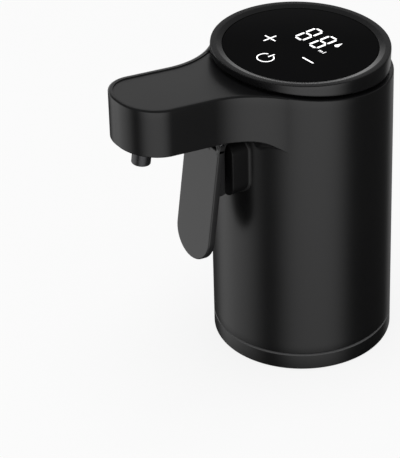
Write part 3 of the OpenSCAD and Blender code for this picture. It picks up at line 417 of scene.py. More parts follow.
# %% The arm
# The lower edge grows with the arm's width beyond the body's circle. A row held just above it keeps the
# light on the tall wall straight.
ARM_EDGE, LOW_EDGE, LOW_SHARE, HOLD, RIM_W, RIM_UP = 0.6, 0.35, 0.3, 0.05, 2.3, 1.6
plan = arm_outline(0)
plan_r = np.hypot(*plan.T)
low_edge = np.clip((plan_r - BODY_R) * LOW_SHARE, 0, LOW_EDGE)
arm = top_rows(arm_outline, np.linspace(math.pi - MEET, 2 * math.pi + MEET, len(plan)), ARM_EDGE)
down(arm, under_z(plan) + low_edge + HOLD, 6)
down(arm, under_z(plan) + low_edge, 1)
set_in = arm_outline(LOW_EDGE) - plan
for q in np.linspace(0, np.pi / 2, 7)[1:]:
    xy = plan + set_in * (low_edge * (1 - np.cos(q)) / LOW_EDGE)[:, None]
    arm.append(stack(xy, under_z(xy) + low_edge * (1 - np.sin(q))))
rim = arm_outline(RIM_W)
for up in (0, RIM_UP):
    arm.append(stack(rim, under_z(rim) + up))
arm = np.stack(arm)
print("arm:", arm.shape)

# %% Wall below the arm
# Beside the gasket, a hollow rounding runs from the wall to the underside: it goes out by h (1 - cos q) and
# stops h (1 - sin q) below the underside, where h follows the width of the corner.
FRONT_N, TUCK, TUCK_SLOPE, GASKET_HALF = 101, 0.5, 6, 9.8
HOLLOW_R, HOLLOW_SHARE, HOLLOW_FADE, HOLLOW_TURN = 6.0, 1.3, 4, math.radians(72)
front_t = np.linspace(math.pi - MEET, 2 * math.pi + MEET, FRONT_N)
front_xy = np.stack([BODY_R * np.cos(front_t), BODY_R * np.sin(front_t)], -1)
tuck = TUCK * np.clip(np.sin(np.linspace(0, np.pi, FRONT_N)) * TUCK_SLOPE, 0, 1)
plan_t = np.arctan2(plan[:, 1], plan[:, 0]) % (2 * math.pi)
corner = np.interp(front_t, plan_t, plan_r) - BODY_R
fade = np.clip((np.abs(front_xy[:, 0]) - GASKET_HALF) / HOLLOW_FADE, 0, 1)
hollow = np.clip(HOLLOW_SHARE * corner, 0, HOLLOW_R) * fade * (2 - fade)
front = []
for q in np.linspace(HOLLOW_TURN, 0, 12):
    xy = front_xy * (1 + hollow * (1 - np.cos(q)) / BODY_R)[:, None]
    front.append(stack(xy, under_z(xy) - hollow * (1 - np.sin(q))))
front[0][:, 2] += tuck
front.append(front[-1] - [0, 0, 2 * HOLD])
for level in LEVELS:
    front.append(stack(front_xy, np.full(FRONT_N, float(level))))
foot_rows(front, lambda d: front_xy * (BODY_R - d) / BODY_R)
front = np.stack(front)
print("wall below the arm:", front.shape, "largest hollow:", round(float(hollow.max()), 2), "mm")

# %% Floor of the arm
FLOOR_FROM, FLOOR_TO = 18.5, 29.2


def half_width(s, d):
    """Half width of the plan set in by d, at distance s along the arm, inside the hollow curve."""
    return FLOW[0] - np.sqrt((FLOW_R + d) ** 2 - (s + FLOW[1]) ** 2)


s = np.linspace(FLOOR_FROM, FLOOR_TO, 24)[:, None]
across = np.linspace(-1, 1, 41)[None, :]
floor_xy = np.stack([half_width(s, RIM_W) * across, -s + 0 * across], -1)
arm_floor = stack(floor_xy, under_z(floor_xy))
lip = np.stack([arm_floor[-1], arm_floor[-1] + [0, 0, RIM_UP]])
print("arm floor:", arm_floor.shape)

# %% Charging opening
# A patch is left out of the back's grid, and rows run from its border to the oval opening.
OPEN_W, OPEN_H, OPEN_Z, OPEN_EDGE = 9.4, 3.6, 44, 0.25
PATCH_UP, PATCH_COLS = 4, 8
first = first_level + LEVELS.index(OPEN_Z + PATCH_UP)
last = first_level + LEVELS.index(OPEN_Z - PATCH_UP)
near, far = BACK_N // 2 - PATCH_COLS, BACK_N // 2 + PATCH_COLS
border = np.concatenate([
    back[first, near:far], back[first:last, far], back[last, far:near:-1], back[last:first:-1, near],
    back[first, near][None],
])
aside = (math.pi / 2 - np.arctan2(border[:, 1], border[:, 0])) * BODY_R
flat = np.stack([aside, border[:, 2] - OPEN_Z], -1)
turn = np.arctan2(flat[:, 1], flat[:, 0])


def oval_edge(t, grow):
    """Oval of two half circles: a circle of its height, with each half moved out sideways."""
    r = OPEN_H / 2 + grow
    moved = np.sign(np.cos(t)) * (OPEN_W - OPEN_H) / 2 * np.minimum(1, np.abs(np.cos(t)) * 8)
    return np.stack([moved + r * np.cos(t), r * np.sin(t)], -1)


def on_back(w, h, r):
    """Point at arc length w from the back's middle line and height h, at radius r."""
    a = math.pi / 2 - w / BODY_R
    return np.stack([r * np.cos(a), r * np.sin(a), OPEN_Z + h], -1)


opening = [border]
for w in (0.4, 0.8, 1.0):
    p = flat + w * (oval_edge(turn, OPEN_EDGE) - flat)
    opening.append(on_back(p[:, 0], p[:, 1], BODY_R))
for q in np.linspace(0, np.pi / 2, 5)[1:]:
    p = oval_edge(turn, OPEN_EDGE * (1 - np.sin(q)))
    opening.append(on_back(p[:, 0], p[:, 1], BODY_R - OPEN_EDGE * (1 - np.cos(q))))
opening.append(on_back(*oval_edge(turn, 0).T, INNER_R))

# %% Join the moulding
upper, lower = back[:first + 1], back[last:]
left_band, right_band = back[first:last + 1, :near + 1], back[first:last + 1, far:]
piece(
    "shell_skin", [upper, lower, left_band, right_band, np.stack(opening), arm, front, arm_floor, lip],
    satin_black, stands_for=["body_shell"],
)

# %% [markdown]
# ## The display ring
# A turned ring whose upper face lies almost level while its foot follows the sloping face, so the wall is
# low beside the arm and tall at the back. Each row of the grid is one point of the profile; the rows of the
# foot take their depth from where the sloping face meets that radius.

# %% Ring round the display
RIM_H, RIM_TILT, SEAM = 93.7, math.radians(3.0), 0.9
RING_R, LAND_R, WINDOW_R, DISH = 25.3, 23.6, 22.0, 0.48
RING_IN, SEAT_DEEP, SPIGOT_R, SPIGOT_L, RING_FOOT = 21.0, 2.0, 23.6, 2.2, 0.3
t = np.linspace(0, 2 * np.pi, 193)


def face_depth(r):
    """Depth below the rim at which radius r meets the sloping face, in the rim's own tilted frame."""
    a = math.tan(RISE)
    c, s = math.cos(RIM_TILT), math.sin(RIM_TILT)
    return (TOP_H + SEAM - RIM_H + r * np.sin(t) * (s - c * a)) / (c + s * a)


def ring_row(r, h):
    """Points (r cos t, r sin t, h) round the ring; the height h may change along the row."""
    return np.stack([r * np.cos(t), r * np.sin(t), h + 0 * t], -1)


profile = rounded([
    (RING_IN, -SEAT_DEEP, 0), (WINDOW_R, -SEAT_DEEP, 0), (WINDOW_R, -DISH, 0.1), (LAND_R, -0.04, 0.8),
    (RING_R - 0.05, 0, 0.2), (RING_R, -0.6, 0), (RING_R, -1.4, 0),
], 8)
ring_rows = [ring_row(r, h) for r, h in profile[:-1]]
wall_top = ring_rows[-1][:, 2]
wall_foot = face_depth(RING_R) + RING_FOOT
for w in np.linspace(0, 1, 6)[1:]:
    ring_rows.append(ring_row(RING_R, np.minimum(wall_top, wall_top + w * (wall_foot - wall_top))))
for q in np.linspace(0, np.pi / 2, 6)[1:]:
    r = RING_R - RING_FOOT * (1 - np.cos(q))
    ring_rows.append(ring_row(r, face_depth(r) + RING_FOOT * (1 - np.sin(q))))
for r, extra in ((SPIGOT_R, 0.0), (SPIGOT_R, -SPIGOT_L), (RING_IN, -SPIGOT_L)):
    ring_rows.append(ring_row(r, face_depth(r) + extra))
piece("display_ring", [tilted(np.stack(ring_rows), RIM_TILT, RIM_H)], ring_black,
      stands_for=["display_collar"])

# %% Window
PANE_R, PANE_TOP = 21.8, -0.5
window = rounded([
    (0, PANE_TOP, 0), (PANE_R, PANE_TOP, 0.15), (PANE_R, -SEAT_DEEP, 0), (0, -SEAT_DEEP, 0),
], 5)
piece("display_window", [tilted(lathe(window, 192), RIM_TILT, RIM_H)], window_black,
      stands_for=["display_lens"])

# %% [markdown]
# ## Signs behind the window
# Two seven-bar digits, three touch signs, a drop and a unit mark shine through the black window. Most of them
# are made of strokes: flat bars with round or pointed ends. They share one plain white glow.

# %% Strokes and bows
SIGN_TOP, SIGN_LOW, SIGN_TURN = -0.47, -0.65, math.radians(6)


def turned(points, angle):
    """Turns points by angle about Z: (x cos a - y sin a, x sin a + y cos a, z)."""
    c, s = math.cos(angle), math.sin(angle)
    x, y, z = np.moveaxis(points, -1, 0)
    return np.stack([x * c - y * s, x * s + y * c, z], -1)


def thick(spine, edge):
    """Sign from its middle line out to its edge, and down the edge."""
    top, low = np.full(len(edge), SIGN_TOP), np.full(len(edge), SIGN_LOW)
    return np.stack([stack(spine, top), stack(edge, top), stack(edge, low)])


def stroke(a, b, w, n=8):
    """Flat stadium of width w from a to b: half circles at both ends, filled towards the middle line."""
    a, b = np.array(a, float), np.array(b, float)
    along = (b - a) / np.linalg.norm(b - a)
    side = np.array([-along[1], along[0]])
    t = np.linspace(-np.pi / 2, np.pi / 2, n)[:, None]
    bulge = w / 2 * (along * np.cos(t) + side * np.sin(t))
    edge = np.concatenate([b + bulge, a - bulge])
    spine = np.concatenate([np.repeat(b[None], n, 0), np.repeat(a[None], n, 0)])
    rows = thick(spine, edge)
    return np.concatenate([rows, rows[:, :1]], 1)


def bow(middle, r, start, end, w, n=40):
    """Flat ring piece: radius runs from r - w / 2 to r + w / 2 between two angles."""
    angles = math.radians(start), math.radians(end)
    near, far = r - w / 2, r + w / 2
    section = ((near, SIGN_LOW), (near, SIGN_TOP), (far, SIGN_TOP), (far, SIGN_LOW))
    return np.stack([stack(arc(middle, radius, *angles, n), np.full(n, h)) for radius, h in section])


def digit(x, y, w=3.0, h=8.0, bar=0.68, gap=0.27):
    """Seven bars of an eight round the middle (x, y); their pointed ends stop at gap from the corners."""
    end = gap + bar / 2
    lx, rx, ys = x - w / 2, x + w / 2, (y - h / 2, y, y + h / 2)
    level = [stroke((lx + end, k), (rx - end, k), bar, 3) for k in ys]
    tall = [stroke((k, ys[i] + end), (k, ys[i + 1] - end), bar, 3) for k in (lx, rx) for i in (0, 1)]
    return level + tall


def drop(x, y, r=0.72, l=2.8, n=33):
    """Filled drop: a round end of radius r that narrows to a point at distance l."""
    t = np.linspace(0, 2 * np.pi, n)
    lean = np.clip(np.cos(t), 0, 1) ** 2
    middle_y = y - l / 2 + r
    edge_x = x + r * np.sin(t) * (1 - 0.55 * lean)
    edge_y = middle_y + r * np.cos(t) + lean**2 * (l - 2 * r)
    return thick(np.repeat([[x, middle_y]], n, 0), np.stack([edge_x, edge_y], -1))


# %% Signs
digits = digit(-2.95, 5.8) + digit(2.95, 5.75)
plus = [stroke((-9.9, -4.3), (-6.0, -4.3), 0.45), stroke((-7.95, -6.55), (-7.95, -2.2), 0.45)]
minus = [stroke((6.25, -4.75), (10.2, -4.75), 0.5)]
power = [stroke((-0.1, -11.8), (0.0, -9.9), 0.42), bow((-0.2, -12.9), 2.35, 119, 430, 0.36)]
unit = [stroke((x, 1.2), (x, 1.8), 0.18) for x in (5.95, 6.5, 7.05)]
unit += [stroke((5.95, 1.85), (7.05, 1.85), 0.16), stroke((7.75, 1.2), (7.75, 2.5), 0.2)]
marks = digits + plus + minus + power + [drop(6.95, 8.0)] + unit
glow = finish("sign_glow", (0.8, 0.8, 0.8), 0.5, bump=0.0, spread=0.04,
              Emission_Color=(1, 1, 1, 1), Emission_Strength=0.9)
piece("display_signs", [tilted(turned(m, SIGN_TURN), RIM_TILT, RIM_H) for m in marks], glow)

# %% [markdown]
# ## The paddle
# A plate with a round lower end hangs from a pin under the arm. Its outline is set in by d along each edge,
# which gives the rounded rim and, at the greatest d, a spine where the faces close. Three knuckles grip the
# pin, and a boss at the back meets the plunger.

# %% Paddle plate
HINGE_Y = -32.4
HINGE_Z = UNDER_H - HINGE_Y * math.tan(RISE) - 2
PADDLE_HALF, PADDLE_L, PADDLE_T, PADDLE_TOP, PADDLE_EDGE = 8.0, 39.4, 2.2, 2.2, 0.4
FACE_INSETS = (PADDLE_HALF, 5.0, 2.0, 0.8)


def upright(xz, y):
    """Points of an upright outline (x, z) at depth y."""
    return np.stack([xz[:, 0], y + 0 * xz[:, 0], xz[:, 1]], -1)


def hang(points):
    """Places (x, y, z) measured from the pin, leaned so that the plate is square to the underside."""
    c, s = math.cos(RISE), math.sin(RISE)
    x, y, z = np.moveaxis(points, -1, 0)
    return np.stack([x, y * c + z * s + HINGE_Y, z * c - y * s + HINGE_Z], -1)


def paddle_outline(d):
    """Straight sides, a half circle below and a straight upper edge, all set in by d."""
    r, top, low = PADDLE_HALF - d, -PADDLE_TOP - d, PADDLE_HALF - PADDLE_L
    return np.concatenate([
        line((-r, top), (-r, low), 12), arc((0, low), r, math.pi, 2 * math.pi, 61)[1:],
        line((r, low), (r, top), 12)[1:], line((r, top), (-r, top), 12)[1:],
    ])


quarter = np.linspace(0, np.pi / 2, 7)
depths = [(-PADDLE_T / 2, d) for d in FACE_INSETS]
for q in quarter:
    depths.append((-PADDLE_T / 2 + PADDLE_EDGE * (1 - np.cos(q)), PADDLE_EDGE * (1 - np.sin(q))))
for q in quarter:
    depths.append((PADDLE_T / 2 - PADDLE_EDGE * (1 - np.sin(q)), PADDLE_EDGE * (1 - np.cos(q))))
depths += [(PADDLE_T / 2, d) for d in FACE_INSETS[::-1]]
plate = np.stack([upright(paddle_outline(d), y) for y, d in depths])
print("paddle plate:", plate.shape)

# %% Knuckles and boss
ROOT_HALF, ROOT_TOP, ROOT_LOW = 1.1, -1.9, -3.4
BOSS_BACK = -31.4


def knuckle(x0, x1, r=1.7, edge=0.25, bore=0.86):
    """Drop-shaped section round the pin, carried along X; the ends shrink by edge and turn in to the bore."""
    crown = arc((0, 0), r, -0.2, math.pi + 0.2, 33)
    stops = [crown[-1], (-ROOT_HALF, ROOT_TOP), (-ROOT_HALF, ROOT_LOW), (ROOT_HALF, ROOT_LOW),
             (ROOT_HALF, ROOT_TOP), crown[0]]
    legs = [line(a, b, n)[1:] for a, b, n in zip(stops, stops[1:], (4, 4, 6, 4, 4))]
    section = np.concatenate([crown] + legs)
    turn = np.arctan2(section[:, 1], section[:, 0])
    hole = bore * np.stack([np.cos(turn), np.sin(turn)], -1)
    soft = edge * 0.3
    ends = ((x0, edge), (x0 + soft, soft), (x0 + edge, 0), (x1 - edge, 0), (x1 - soft, soft), (x1, edge))
    rows = [(x0, hole)] + [(x, section * (1 - inset / r)) for x, inset in ends] + [(x1, hole), (x0, hole)]
    return np.stack([np.stack([np.full(len(yz), x), yz[:, 0], yz[:, 1]], -1) for x, yz in rows])


def soft_frame(half, low, high, r, n=13):
    """Closed rounded rectangle in (x, z): a quarter circle of radius r and n points in each corner."""
    edge = np.concatenate([
        arc((half - r, high - r), r, 0, math.pi / 2, n),
        arc((r - half, high - r), r, math.pi / 2, math.pi, n),
        arc((r - half, low + r), r, math.pi, 1.5 * math.pi, n),
        arc((half - r, low + r), r, 1.5 * math.pi, 2 * math.pi, n),
    ])
    return np.concatenate([edge, edge[:1]])


def boss_grid(half=7.7, low=59.3, high=74.0, r=0.6):
    """Block behind the plate: a rounded rectangle that runs forwards into the leaning plate."""
    edge = soft_frame(half, low, high, r, 7)
    middle = np.array([0, (low + high) / 2])
    rows = []
    for w, inset in ((0, 1.0), (0, 0.06), (0.1, 0.01), (0.25, 0), (1.0, 0)):
        xz = edge + inset * (middle - edge)
        plate_y = HINGE_Y + (xz[:, 1] - HINGE_Z) * math.tan(RISE)
        rows.append(upright(xz, BOSS_BACK + w * (plate_y - BOSS_BACK)))
    return np.stack(rows)


knuckles = [hang(knuckle(a, b)) for a, b in ((-8, -6.8), (-4.4, 4.4), (6.8, 8))]
piece(
    "paddle_skin", [hang(plate), boss_grid()] + knuckles, paddle_grey,
    body="paddle", stands_for=["trigger_paddle"],
)

# %% [markdown]
# ## The block behind the paddle
# A rounded block stands on the body wall and carries the plunger. Its back follows the round wall: the depth
# of a point is the square root of the wall radius squared minus x squared.

# %% Trigger block
BLOCK_W, BLOCK_LOW, BLOCK_HIGH, BLOCK_R = 18.8, 58.0, 76.0, 4.0
BLOCK_FRONT, BLOCK_EDGE, SEAT_R = 30.2, 0.3, 26.8
PLUNGER_Z, PLUNGER_HOLE, HOLE_DEEP = 66.0, 2.53, 2


def block_outline(d):
    """Rounded rectangle of the block's front, set in by d."""
    return soft_frame(BLOCK_W / 2 - d, BLOCK_LOW + d, BLOCK_HIGH - d, BLOCK_R - d)


edge = block_outline(0)
rows = [upright(edge, -np.sqrt(SEAT_R**2 - edge[:, 0] ** 2))]
for q in np.linspace(0, np.pi / 2, 7):
    xz = block_outline(BLOCK_EDGE * (1 - np.cos(q)))
    rows.append(upright(xz, -BLOCK_FRONT + BLOCK_EDGE * (1 - np.sin(q))))
spread = np.arctan2(edge[:, 1] - PLUNGER_Z, edge[:, 0])
hole = np.stack([PLUNGER_HOLE * np.cos(spread), PLUNGER_Z + PLUNGER_HOLE * np.sin(spread)], -1)
face = block_outline(BLOCK_EDGE)
for w in (0.3, 0.7, 1.0):
    rows.append(upright(face + w * (hole - face), -BLOCK_FRONT))
rows.append(upright(hole, -BLOCK_FRONT + HOLE_DEEP))
# The block's darker copy of the shell's black is painted shade.
piece("block_skin", [np.stack(rows)], block_painted_shade_black, stands_for=["trigger_block"])

# %% [markdown]
# ## Nozzle and stopper
# Both are turned shapes. The nozzle stands square to the arm's underside, with a rounded lip; the stopper's
# soft ribs are rounded so that they slide in easily and seal.

# %% Nozzle
NOZZLE_AT, NOZZLE_R, NOZZLE_BORE, NOZZLE_L = 53.6, 2.7, 1.6, 6.8
FLANGE_R, BARB_R, BARB_BORE, BORE_TOP = 4.2, 1.1, 0.8, 2.0
tube = rounded([
    (NOZZLE_BORE, BORE_TOP, 0), (NOZZLE_BORE, -NOZZLE_L, 0.3), (NOZZLE_R, -NOZZLE_L, 0.4), (NOZZLE_R, 2.6, 0),
    (FLANGE_R, 2.6, 0.2), (FLANGE_R, 3.8, 0.2), (BARB_R, 3.8, 0), (BARB_R, 5.4, 0.1), (BARB_BORE, 5.4, 0.1),
    (BARB_BORE, BORE_TOP, 0), (NOZZLE_BORE, BORE_TOP, 0),
])


def at_nozzle(points):
    """Moves a turned shape to the arm's tip, square to the underside."""
    return tilted(points + [0, -NOZZLE_AT, 0], RISE, UNDER_H)


piece("nozzle_skin", [at_nozzle(lathe(tube, 64))], finishes["nozzle"], stands_for=["nozzle"])

# %% Stopper
STOPPER_R, STOPPER_BORE, STOPPER_LOW, STOPPER_HIGH = 8.7, 1.53, 15.5, 33
RIB_R, RIB_START, PITCH = 9.9, 16.5, 15 / 4.5
ribs = [(STOPPER_BORE, STOPPER_LOW, 0), (STOPPER_R, STOPPER_LOW, 0.6)]
for k in range(4):
    z = RIB_START + k * PITCH
    ribs += [(STOPPER_R, z, 0.2), (RIB_R, z + PITCH / 2, 0.25), (STOPPER_R, z + 0.6 * PITCH, 0.1)]
ribs += [(STOPPER_R, STOPPER_HIGH, 0), (STOPPER_BORE, STOPPER_HIGH, 0), (STOPPER_BORE, STOPPER_LOW, 0)]
piece("stopper_skin", [lathe(rounded(ribs, 5), 96)], finishes["silicone"],
      stands_for=["bottle_stopper"])

# %% [markdown]
# ## The base ring
# The ring under the body shows a thin pale line where its upper edge is broken by a small bevel; the bevel's
# lighter grey is a painted highlight. The outside is a turned profile; the underside has three sunk holes, so
# it is laid out as sectors, and in three of them a grid runs from the sector's border to the round hole.

# %% Base ring
BASE_H, BASE_BEVEL, BASE_LOW, FLOOR_IN, FLOOR_T = 5.2, 0.42, 0.4, 17.7, 2.4
NECK_R, NECK_BORE, NECK_H = 23.8, 22.4, 7.8
POST_RING, SUNK_R, SUNK_H, SUNK_EDGE, SHAFT_R, SHAFT_H = 21.4, 2.2, 1.7, 0.15, 1.2, 4
bevel = lathe(np.array([(BODY_R, BASE_H - BASE_BEVEL), (BODY_R - BASE_BEVEL, BASE_H)]), 240)
outside = rounded([(BODY_R - 1, 0, 0), (BODY_R, 0, BASE_LOW), (BODY_R, BASE_H - BASE_BEVEL, 0)])
inside = np.array([
    (BODY_R - BASE_BEVEL, BASE_H), (NECK_R, BASE_H), (NECK_R, NECK_H), (NECK_BORE, NECK_H),
    (NECK_BORE, FLOOR_T), (FLOOR_IN, FLOOR_T), (FLOOR_IN, 0),
])


def sector(start, end, n):
    """Flat part of the underside between two angles: rows run from the inner to the outer radius."""
    t = np.linspace(start, end, n)
    r = np.linspace(FLOOR_IN, BODY_R - 1, 9)[:, None]
    return np.stack([r * np.cos(t), r * np.sin(t), 0 * r * t], -1)


def sunk_hole(angle, reach):
    """Sector round a screw: rows run from its border to the hole's edge, up the hole and in to the shaft."""
    flat = sector(angle - reach, angle + reach, 17)
    border = np.concatenate([flat[0, :-1], flat[:-1, -1], flat[-1, :0:-1], flat[:0:-1, 0], flat[:1, 0]])
    spot = POST_RING * np.array([math.cos(angle), math.sin(angle), 0])
    turn = np.arctan2(border[:, 1] - spot[1], border[:, 0] - spot[0])
    way = np.stack([np.cos(turn), np.sin(turn), 0 * turn], -1)
    up = np.array([0, 0, 1.0])
    edge = spot + (SUNK_R + SUNK_EDGE) * way
    rows = [border, border + 0.5 * (edge - border), edge]
    for r, h in ((SUNK_R, SUNK_EDGE), (SUNK_R, SUNK_H), (SHAFT_R, SUNK_H), (SHAFT_R, SHAFT_H)):
        rows.append(spot + r * way + h * up)
    return np.stack(rows)


posts, reach = np.radians([90, 210, 330]), math.radians(13)
under = [sunk_hole(a, reach) for a in posts]
under += [sector(a + reach, a + 2 * math.pi / 3 - reach, 49) for a in posts]
# The bevel, the first grid, takes the lighter grey of the painted highlight.
piece("base_skin", [bevel, lathe(outside, 240), lathe(inside, 240)] + under, satin_black,
      stands_for=["base_ring"], trim=bevel_highlight_grey)

# %% [markdown]
# ## Soft rings and pads
# Gaskets, the air valve and the touch pads are silicone. On the real part their edges are round, because they
# come out of a mould, so each is a turned profile with rounded corners; the gasket behind the block is a
# frame whose points lie on the round wall.

# %% Gaskets
SEAL_IN, SEAL_OUT = 2.73, 4.2
GASKET_BACK, GASKET_FRONT, GASKET_RIM = 26.02, 26.8, 26.6


def soft_piece(name, grids, node):
    """Silicone piece that stands for one node."""
    piece(name, grids, finishes["silicone"], stands_for=[node])


seat = rounded([
    (8.73, 31.7, 0), (8.73, 30.5, 0.5), (15.2, 30.5, 0.6), (15.2, 33, 0.3), (8.73, 33, 0.2), (8.73, 31.7, 0),
])
soft_piece("seat_ring", [lathe(seat, 128)], "seat_gasket")


def on_front(xz, r):
    """Puts (x, z) on the round wall's front side at radius r."""
    return upright(xz, -np.sqrt(r**2 - xz[:, 0] ** 2))


pane = soft_frame(7.6, 58.8, 74, 3.0)
slim = soft_frame(9.6, 57.8, 75.8, 4.2)
full = soft_frame(GASKET_HALF, 57.6, 76, 4.4)
section = ((pane, GASKET_BACK), (pane, GASKET_FRONT), (slim, GASKET_FRONT), (full, GASKET_RIM),
           (full, GASKET_BACK), (pane, GASKET_BACK))
gasket = [on_front(outline, r) for outline, r in section]
piece("block_gasket", [np.stack(gasket)], finishes["gasket"], stands_for=["trigger_gasket"])
seal = rounded([
    (SEAL_IN, 2.3, 0), (SEAL_IN, 2.0, 0.12), (SEAL_OUT, 2.0, 0.2), (SEAL_OUT, 2.6, 0.2), (SEAL_IN, 2.6, 0.12),
    (SEAL_IN, 2.3, 0),
], 4)
soft_piece("nozzle_ring", [at_nozzle(lathe(seal, 64))], "nozzle_seal")

# %% Air valve and touch pads
VALVE_AT = (5.5, 2, 0)
PAD_SPOTS = ((-8, -4.3), (0, -12.3), (8, -4.3))
valve = rounded([
    (0.8, 36, 0), (0.8, 35.5, 0.1), (2.0, 35.5, 0.1), (2.0, 37.9, 0.5), (1.5, 37.9, 0.3), (1.4, 40.5, 0.4),
    (0.25, 40.5, 0.1), (0.8, 39, 0.3), (0.8, 36, 0),
], 5)
soft_piece("valve_skin", [lathe(valve, 48) + VALVE_AT], "air_valve")
pad = lathe(rounded([(0, -4.2, 0), (2.2, -4.2, 0.4), (2.05, -2.0, 0.4), (0, -2.0, 0)], 5), 48)
soft_piece("touch_springs", [tilted(pad + [x, y, 0], RIM_TILT, RIM_H) for x, y in PAD_SPOTS], "touch_pads")

# %% [markdown]
# ## Hoses and the return spring
# A hose is a ring carried along a path with rounded bends. At each point of the path, the ring lies square to
# the path's direction; one fixed side direction, never along the path, keeps it from twisting.

# %% Rings along a path
HOSE_R, HOSE_BORE = 2.0, 1.2


def square_to(path, side):
    """Two unit directions across a path: the first is square to the given side direction as well."""
    along = np.gradient(path, axis=0)
    along /= np.linalg.norm(along, axis=1)[:, None]
    first = np.cross(along, side)
    first /= np.linalg.norm(first, axis=1)[:, None]
    return first, np.cross(along, first)


def ring_along(path, r, side, sides=32):
    """Grid of path + r (first cos t + second sin t): one ring of points for each point of the path."""
    first, second = square_to(path, np.array(side, float))
    t = np.linspace(0, 2 * np.pi, sides + 1)[None, :, None]
    return path[:, None] + r * (first[:, None] * np.cos(t) + second[:, None] * np.sin(t))


def hose(path, side):
    """Outer wall, both ends and the bore, as one closed grid."""
    outer, bore = ring_along(path, HOSE_R, side), ring_along(path, HOSE_BORE, side)
    return np.concatenate([bore[:1], outer, bore[::-1]])


def finer(path, step=1.0):
    """The same path with extra points, so that no stretch is longer than about one step."""
    way = np.append(0, np.cumsum(np.linalg.norm(np.diff(path, axis=0), axis=1)))
    keep = np.unique(np.concatenate([way, np.linspace(0, way[-1], int(way[-1] / step) + 2)]).round(4))
    return np.stack([np.interp(keep, way, path[:, k]) for k in range(3)], -1)


# %% Hoses
BEND_R, FLAT_Z = 4, 52.4
LOOP_MIDDLE, LOOP_R, IN_X, OUT_X = (7.2, 3), 7.8, -0.6, 15
round_rollers = np.concatenate([[[IN_X, -9.6]], arc(LOOP_MIDDLE, LOOP_R, math.pi, 0, 61), [[OUT_X, -9.6]]])
loop = finer(stack(round_rollers, np.full(len(round_rollers), FLAT_Z)))
intake = finer(rounded([
    (0, 0, 36.9, 0), (0, 0, 43.5, BEND_R), (IN_X, -15.4, 43.5, BEND_R), (IN_X, -15.4, FLAT_Z, BEND_R),
    (IN_X, -10.4, FLAT_Z, 0),
], 12))
outlet = finer(rounded([
    (OUT_X, -10.4, FLAT_Z, 0), (OUT_X, -15.4, FLAT_Z, BEND_R), (OUT_X, -15.4, 85.33, BEND_R),
    (0, -29.41, 87.47, BEND_R), (0, -51.80, 90.58, BEND_R), (0, -52.54, 85.23, 0),
], 12))
for name, path, side, node in (
    ("pump_loop", loop, (0, 0, 1), "pump_tube"),
    ("intake_hose", intake, (1, 0, 0), "suction_hose"),
    ("outlet_hose", outlet, (1, -1, 0), "delivery_hose"),
):
    piece(name, [hose(path, side)], finishes["hose"], stands_for=[node])

# %% Return spring
SPRING_R, WIRE_R, CURLS, COIL_N, WIRE_SIDES = 2.6, 0.22, 3, 145, 12
SPRING_FROM, SPRING_TO = -23.77, -26.63
t = np.linspace(0, 2 * np.pi * CURLS, COIL_N)
along = np.linspace(SPRING_FROM, SPRING_TO, COIL_N)
coil = np.stack([SPRING_R * np.cos(t), along, PLUNGER_Z + SPRING_R * np.sin(t)], -1)
wire = ring_along(coil, WIRE_R, (0, 1, 0), WIRE_SIDES)
tips = [np.repeat(coil[k][None, None], WIRE_SIDES + 1, 1) for k in (0, -1)]
spring = piece("spring_wire", [np.concatenate([tips[0], wire, tips[1]])], finishes["steel"],
               stands_for=["return_spring"])
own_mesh(spring)

# %% [markdown]
# ## Light and floor
# A pale floor catches the shadow. The world is a soft dome: white to the camera, even to matt surfaces, and
# with soft boxes round the floor for shiny ones, because black plastic shows little but what it mirrors. One
# lamp above gives the shadow.

# %% Floor
FLOOR_SIZE, FLOOR_Z, FLOOR_GREY, PLAIN_SHARE = 6, -0.0002, 0.8, 0.85
scene = bpy.context.scene
scene.view_settings.view_transform = "Standard"


def pale_floor():
    """Floor that the camera sees as nearly plain white, with a faint shadow."""
    bpy.ops.mesh.primitive_plane_add(size=FLOOR_SIZE, location=(0, 0, FLOOR_Z))
    floor = bpy.context.object
    floor.name = "floor"
    made = bpy.data.materials.new("pale_floor")
    made.use_nodes = True
    nodes, links = made.node_tree.nodes, made.node_tree.links
    shader = nodes["Principled BSDF"]
    shader.inputs["Base Color"].default_value = (FLOOR_GREY, FLOOR_GREY, FLOOR_GREY, 1)
    shader.inputs["Roughness"].default_value = 0.9
    plain = nodes.new("ShaderNodeEmission")
    rays = nodes.new("ShaderNodeLightPath")
    seen = nodes.new("ShaderNodeMath")
    seen.operation = "MULTIPLY"
    seen.inputs[1].default_value = PLAIN_SHARE
    mix = nodes.new("ShaderNodeMixShader")
    links.new(rays.outputs["Is Camera Ray"], seen.inputs[0])
    links.new(seen.outputs["Value"], mix.inputs["Fac"])
    links.new(shader.outputs["BSDF"], mix.inputs[1])
    links.new(plain.outputs["Emission"], mix.inputs[2])
    links.new(mix.outputs["Shader"], nodes["Material Output"].inputs["Surface"])
    floor.data.materials.append(made)
    floor.visible_glossy = False


pale_floor()

# %% Parts of the dome


def smooth_step(tree, value, low, high, below, above):
    """Smooth step from below, where the value is low, to above, where it is high."""
    step = tree.nodes.new("ShaderNodeMapRange")
    step.interpolation_type = "SMOOTHSTEP"
    for name, number in (("From Min", low), ("From Max", high), ("To Min", below), ("To Max", above)):
        step.inputs[name].default_value = number
    tree.links.new(value, step.inputs["Value"])
    return step.outputs["Result"]


def soft_box(tree, heading, azimuth, reach, strength):
    """Upright soft box: full strength at its azimuth, smoothly down to nothing at reach degrees beside it."""
    beside = tree.nodes.new("ShaderNodeVectorMath")
    beside.operation = "DOT_PRODUCT"
    a = math.radians(azimuth)
    beside.inputs[1].default_value = (math.cos(a), math.sin(a), 0)
    tree.links.new(heading, beside.inputs[0])
    return smooth_step(tree, beside.outputs["Value"], math.cos(math.radians(reach)), 1.0, 0.0, strength)


def put(tree, socket, value):
    """Sets a socket to a plain number, or links it to another socket."""
    if isinstance(value, float):
        socket.default_value = value
    else:
        tree.links.new(value, socket)


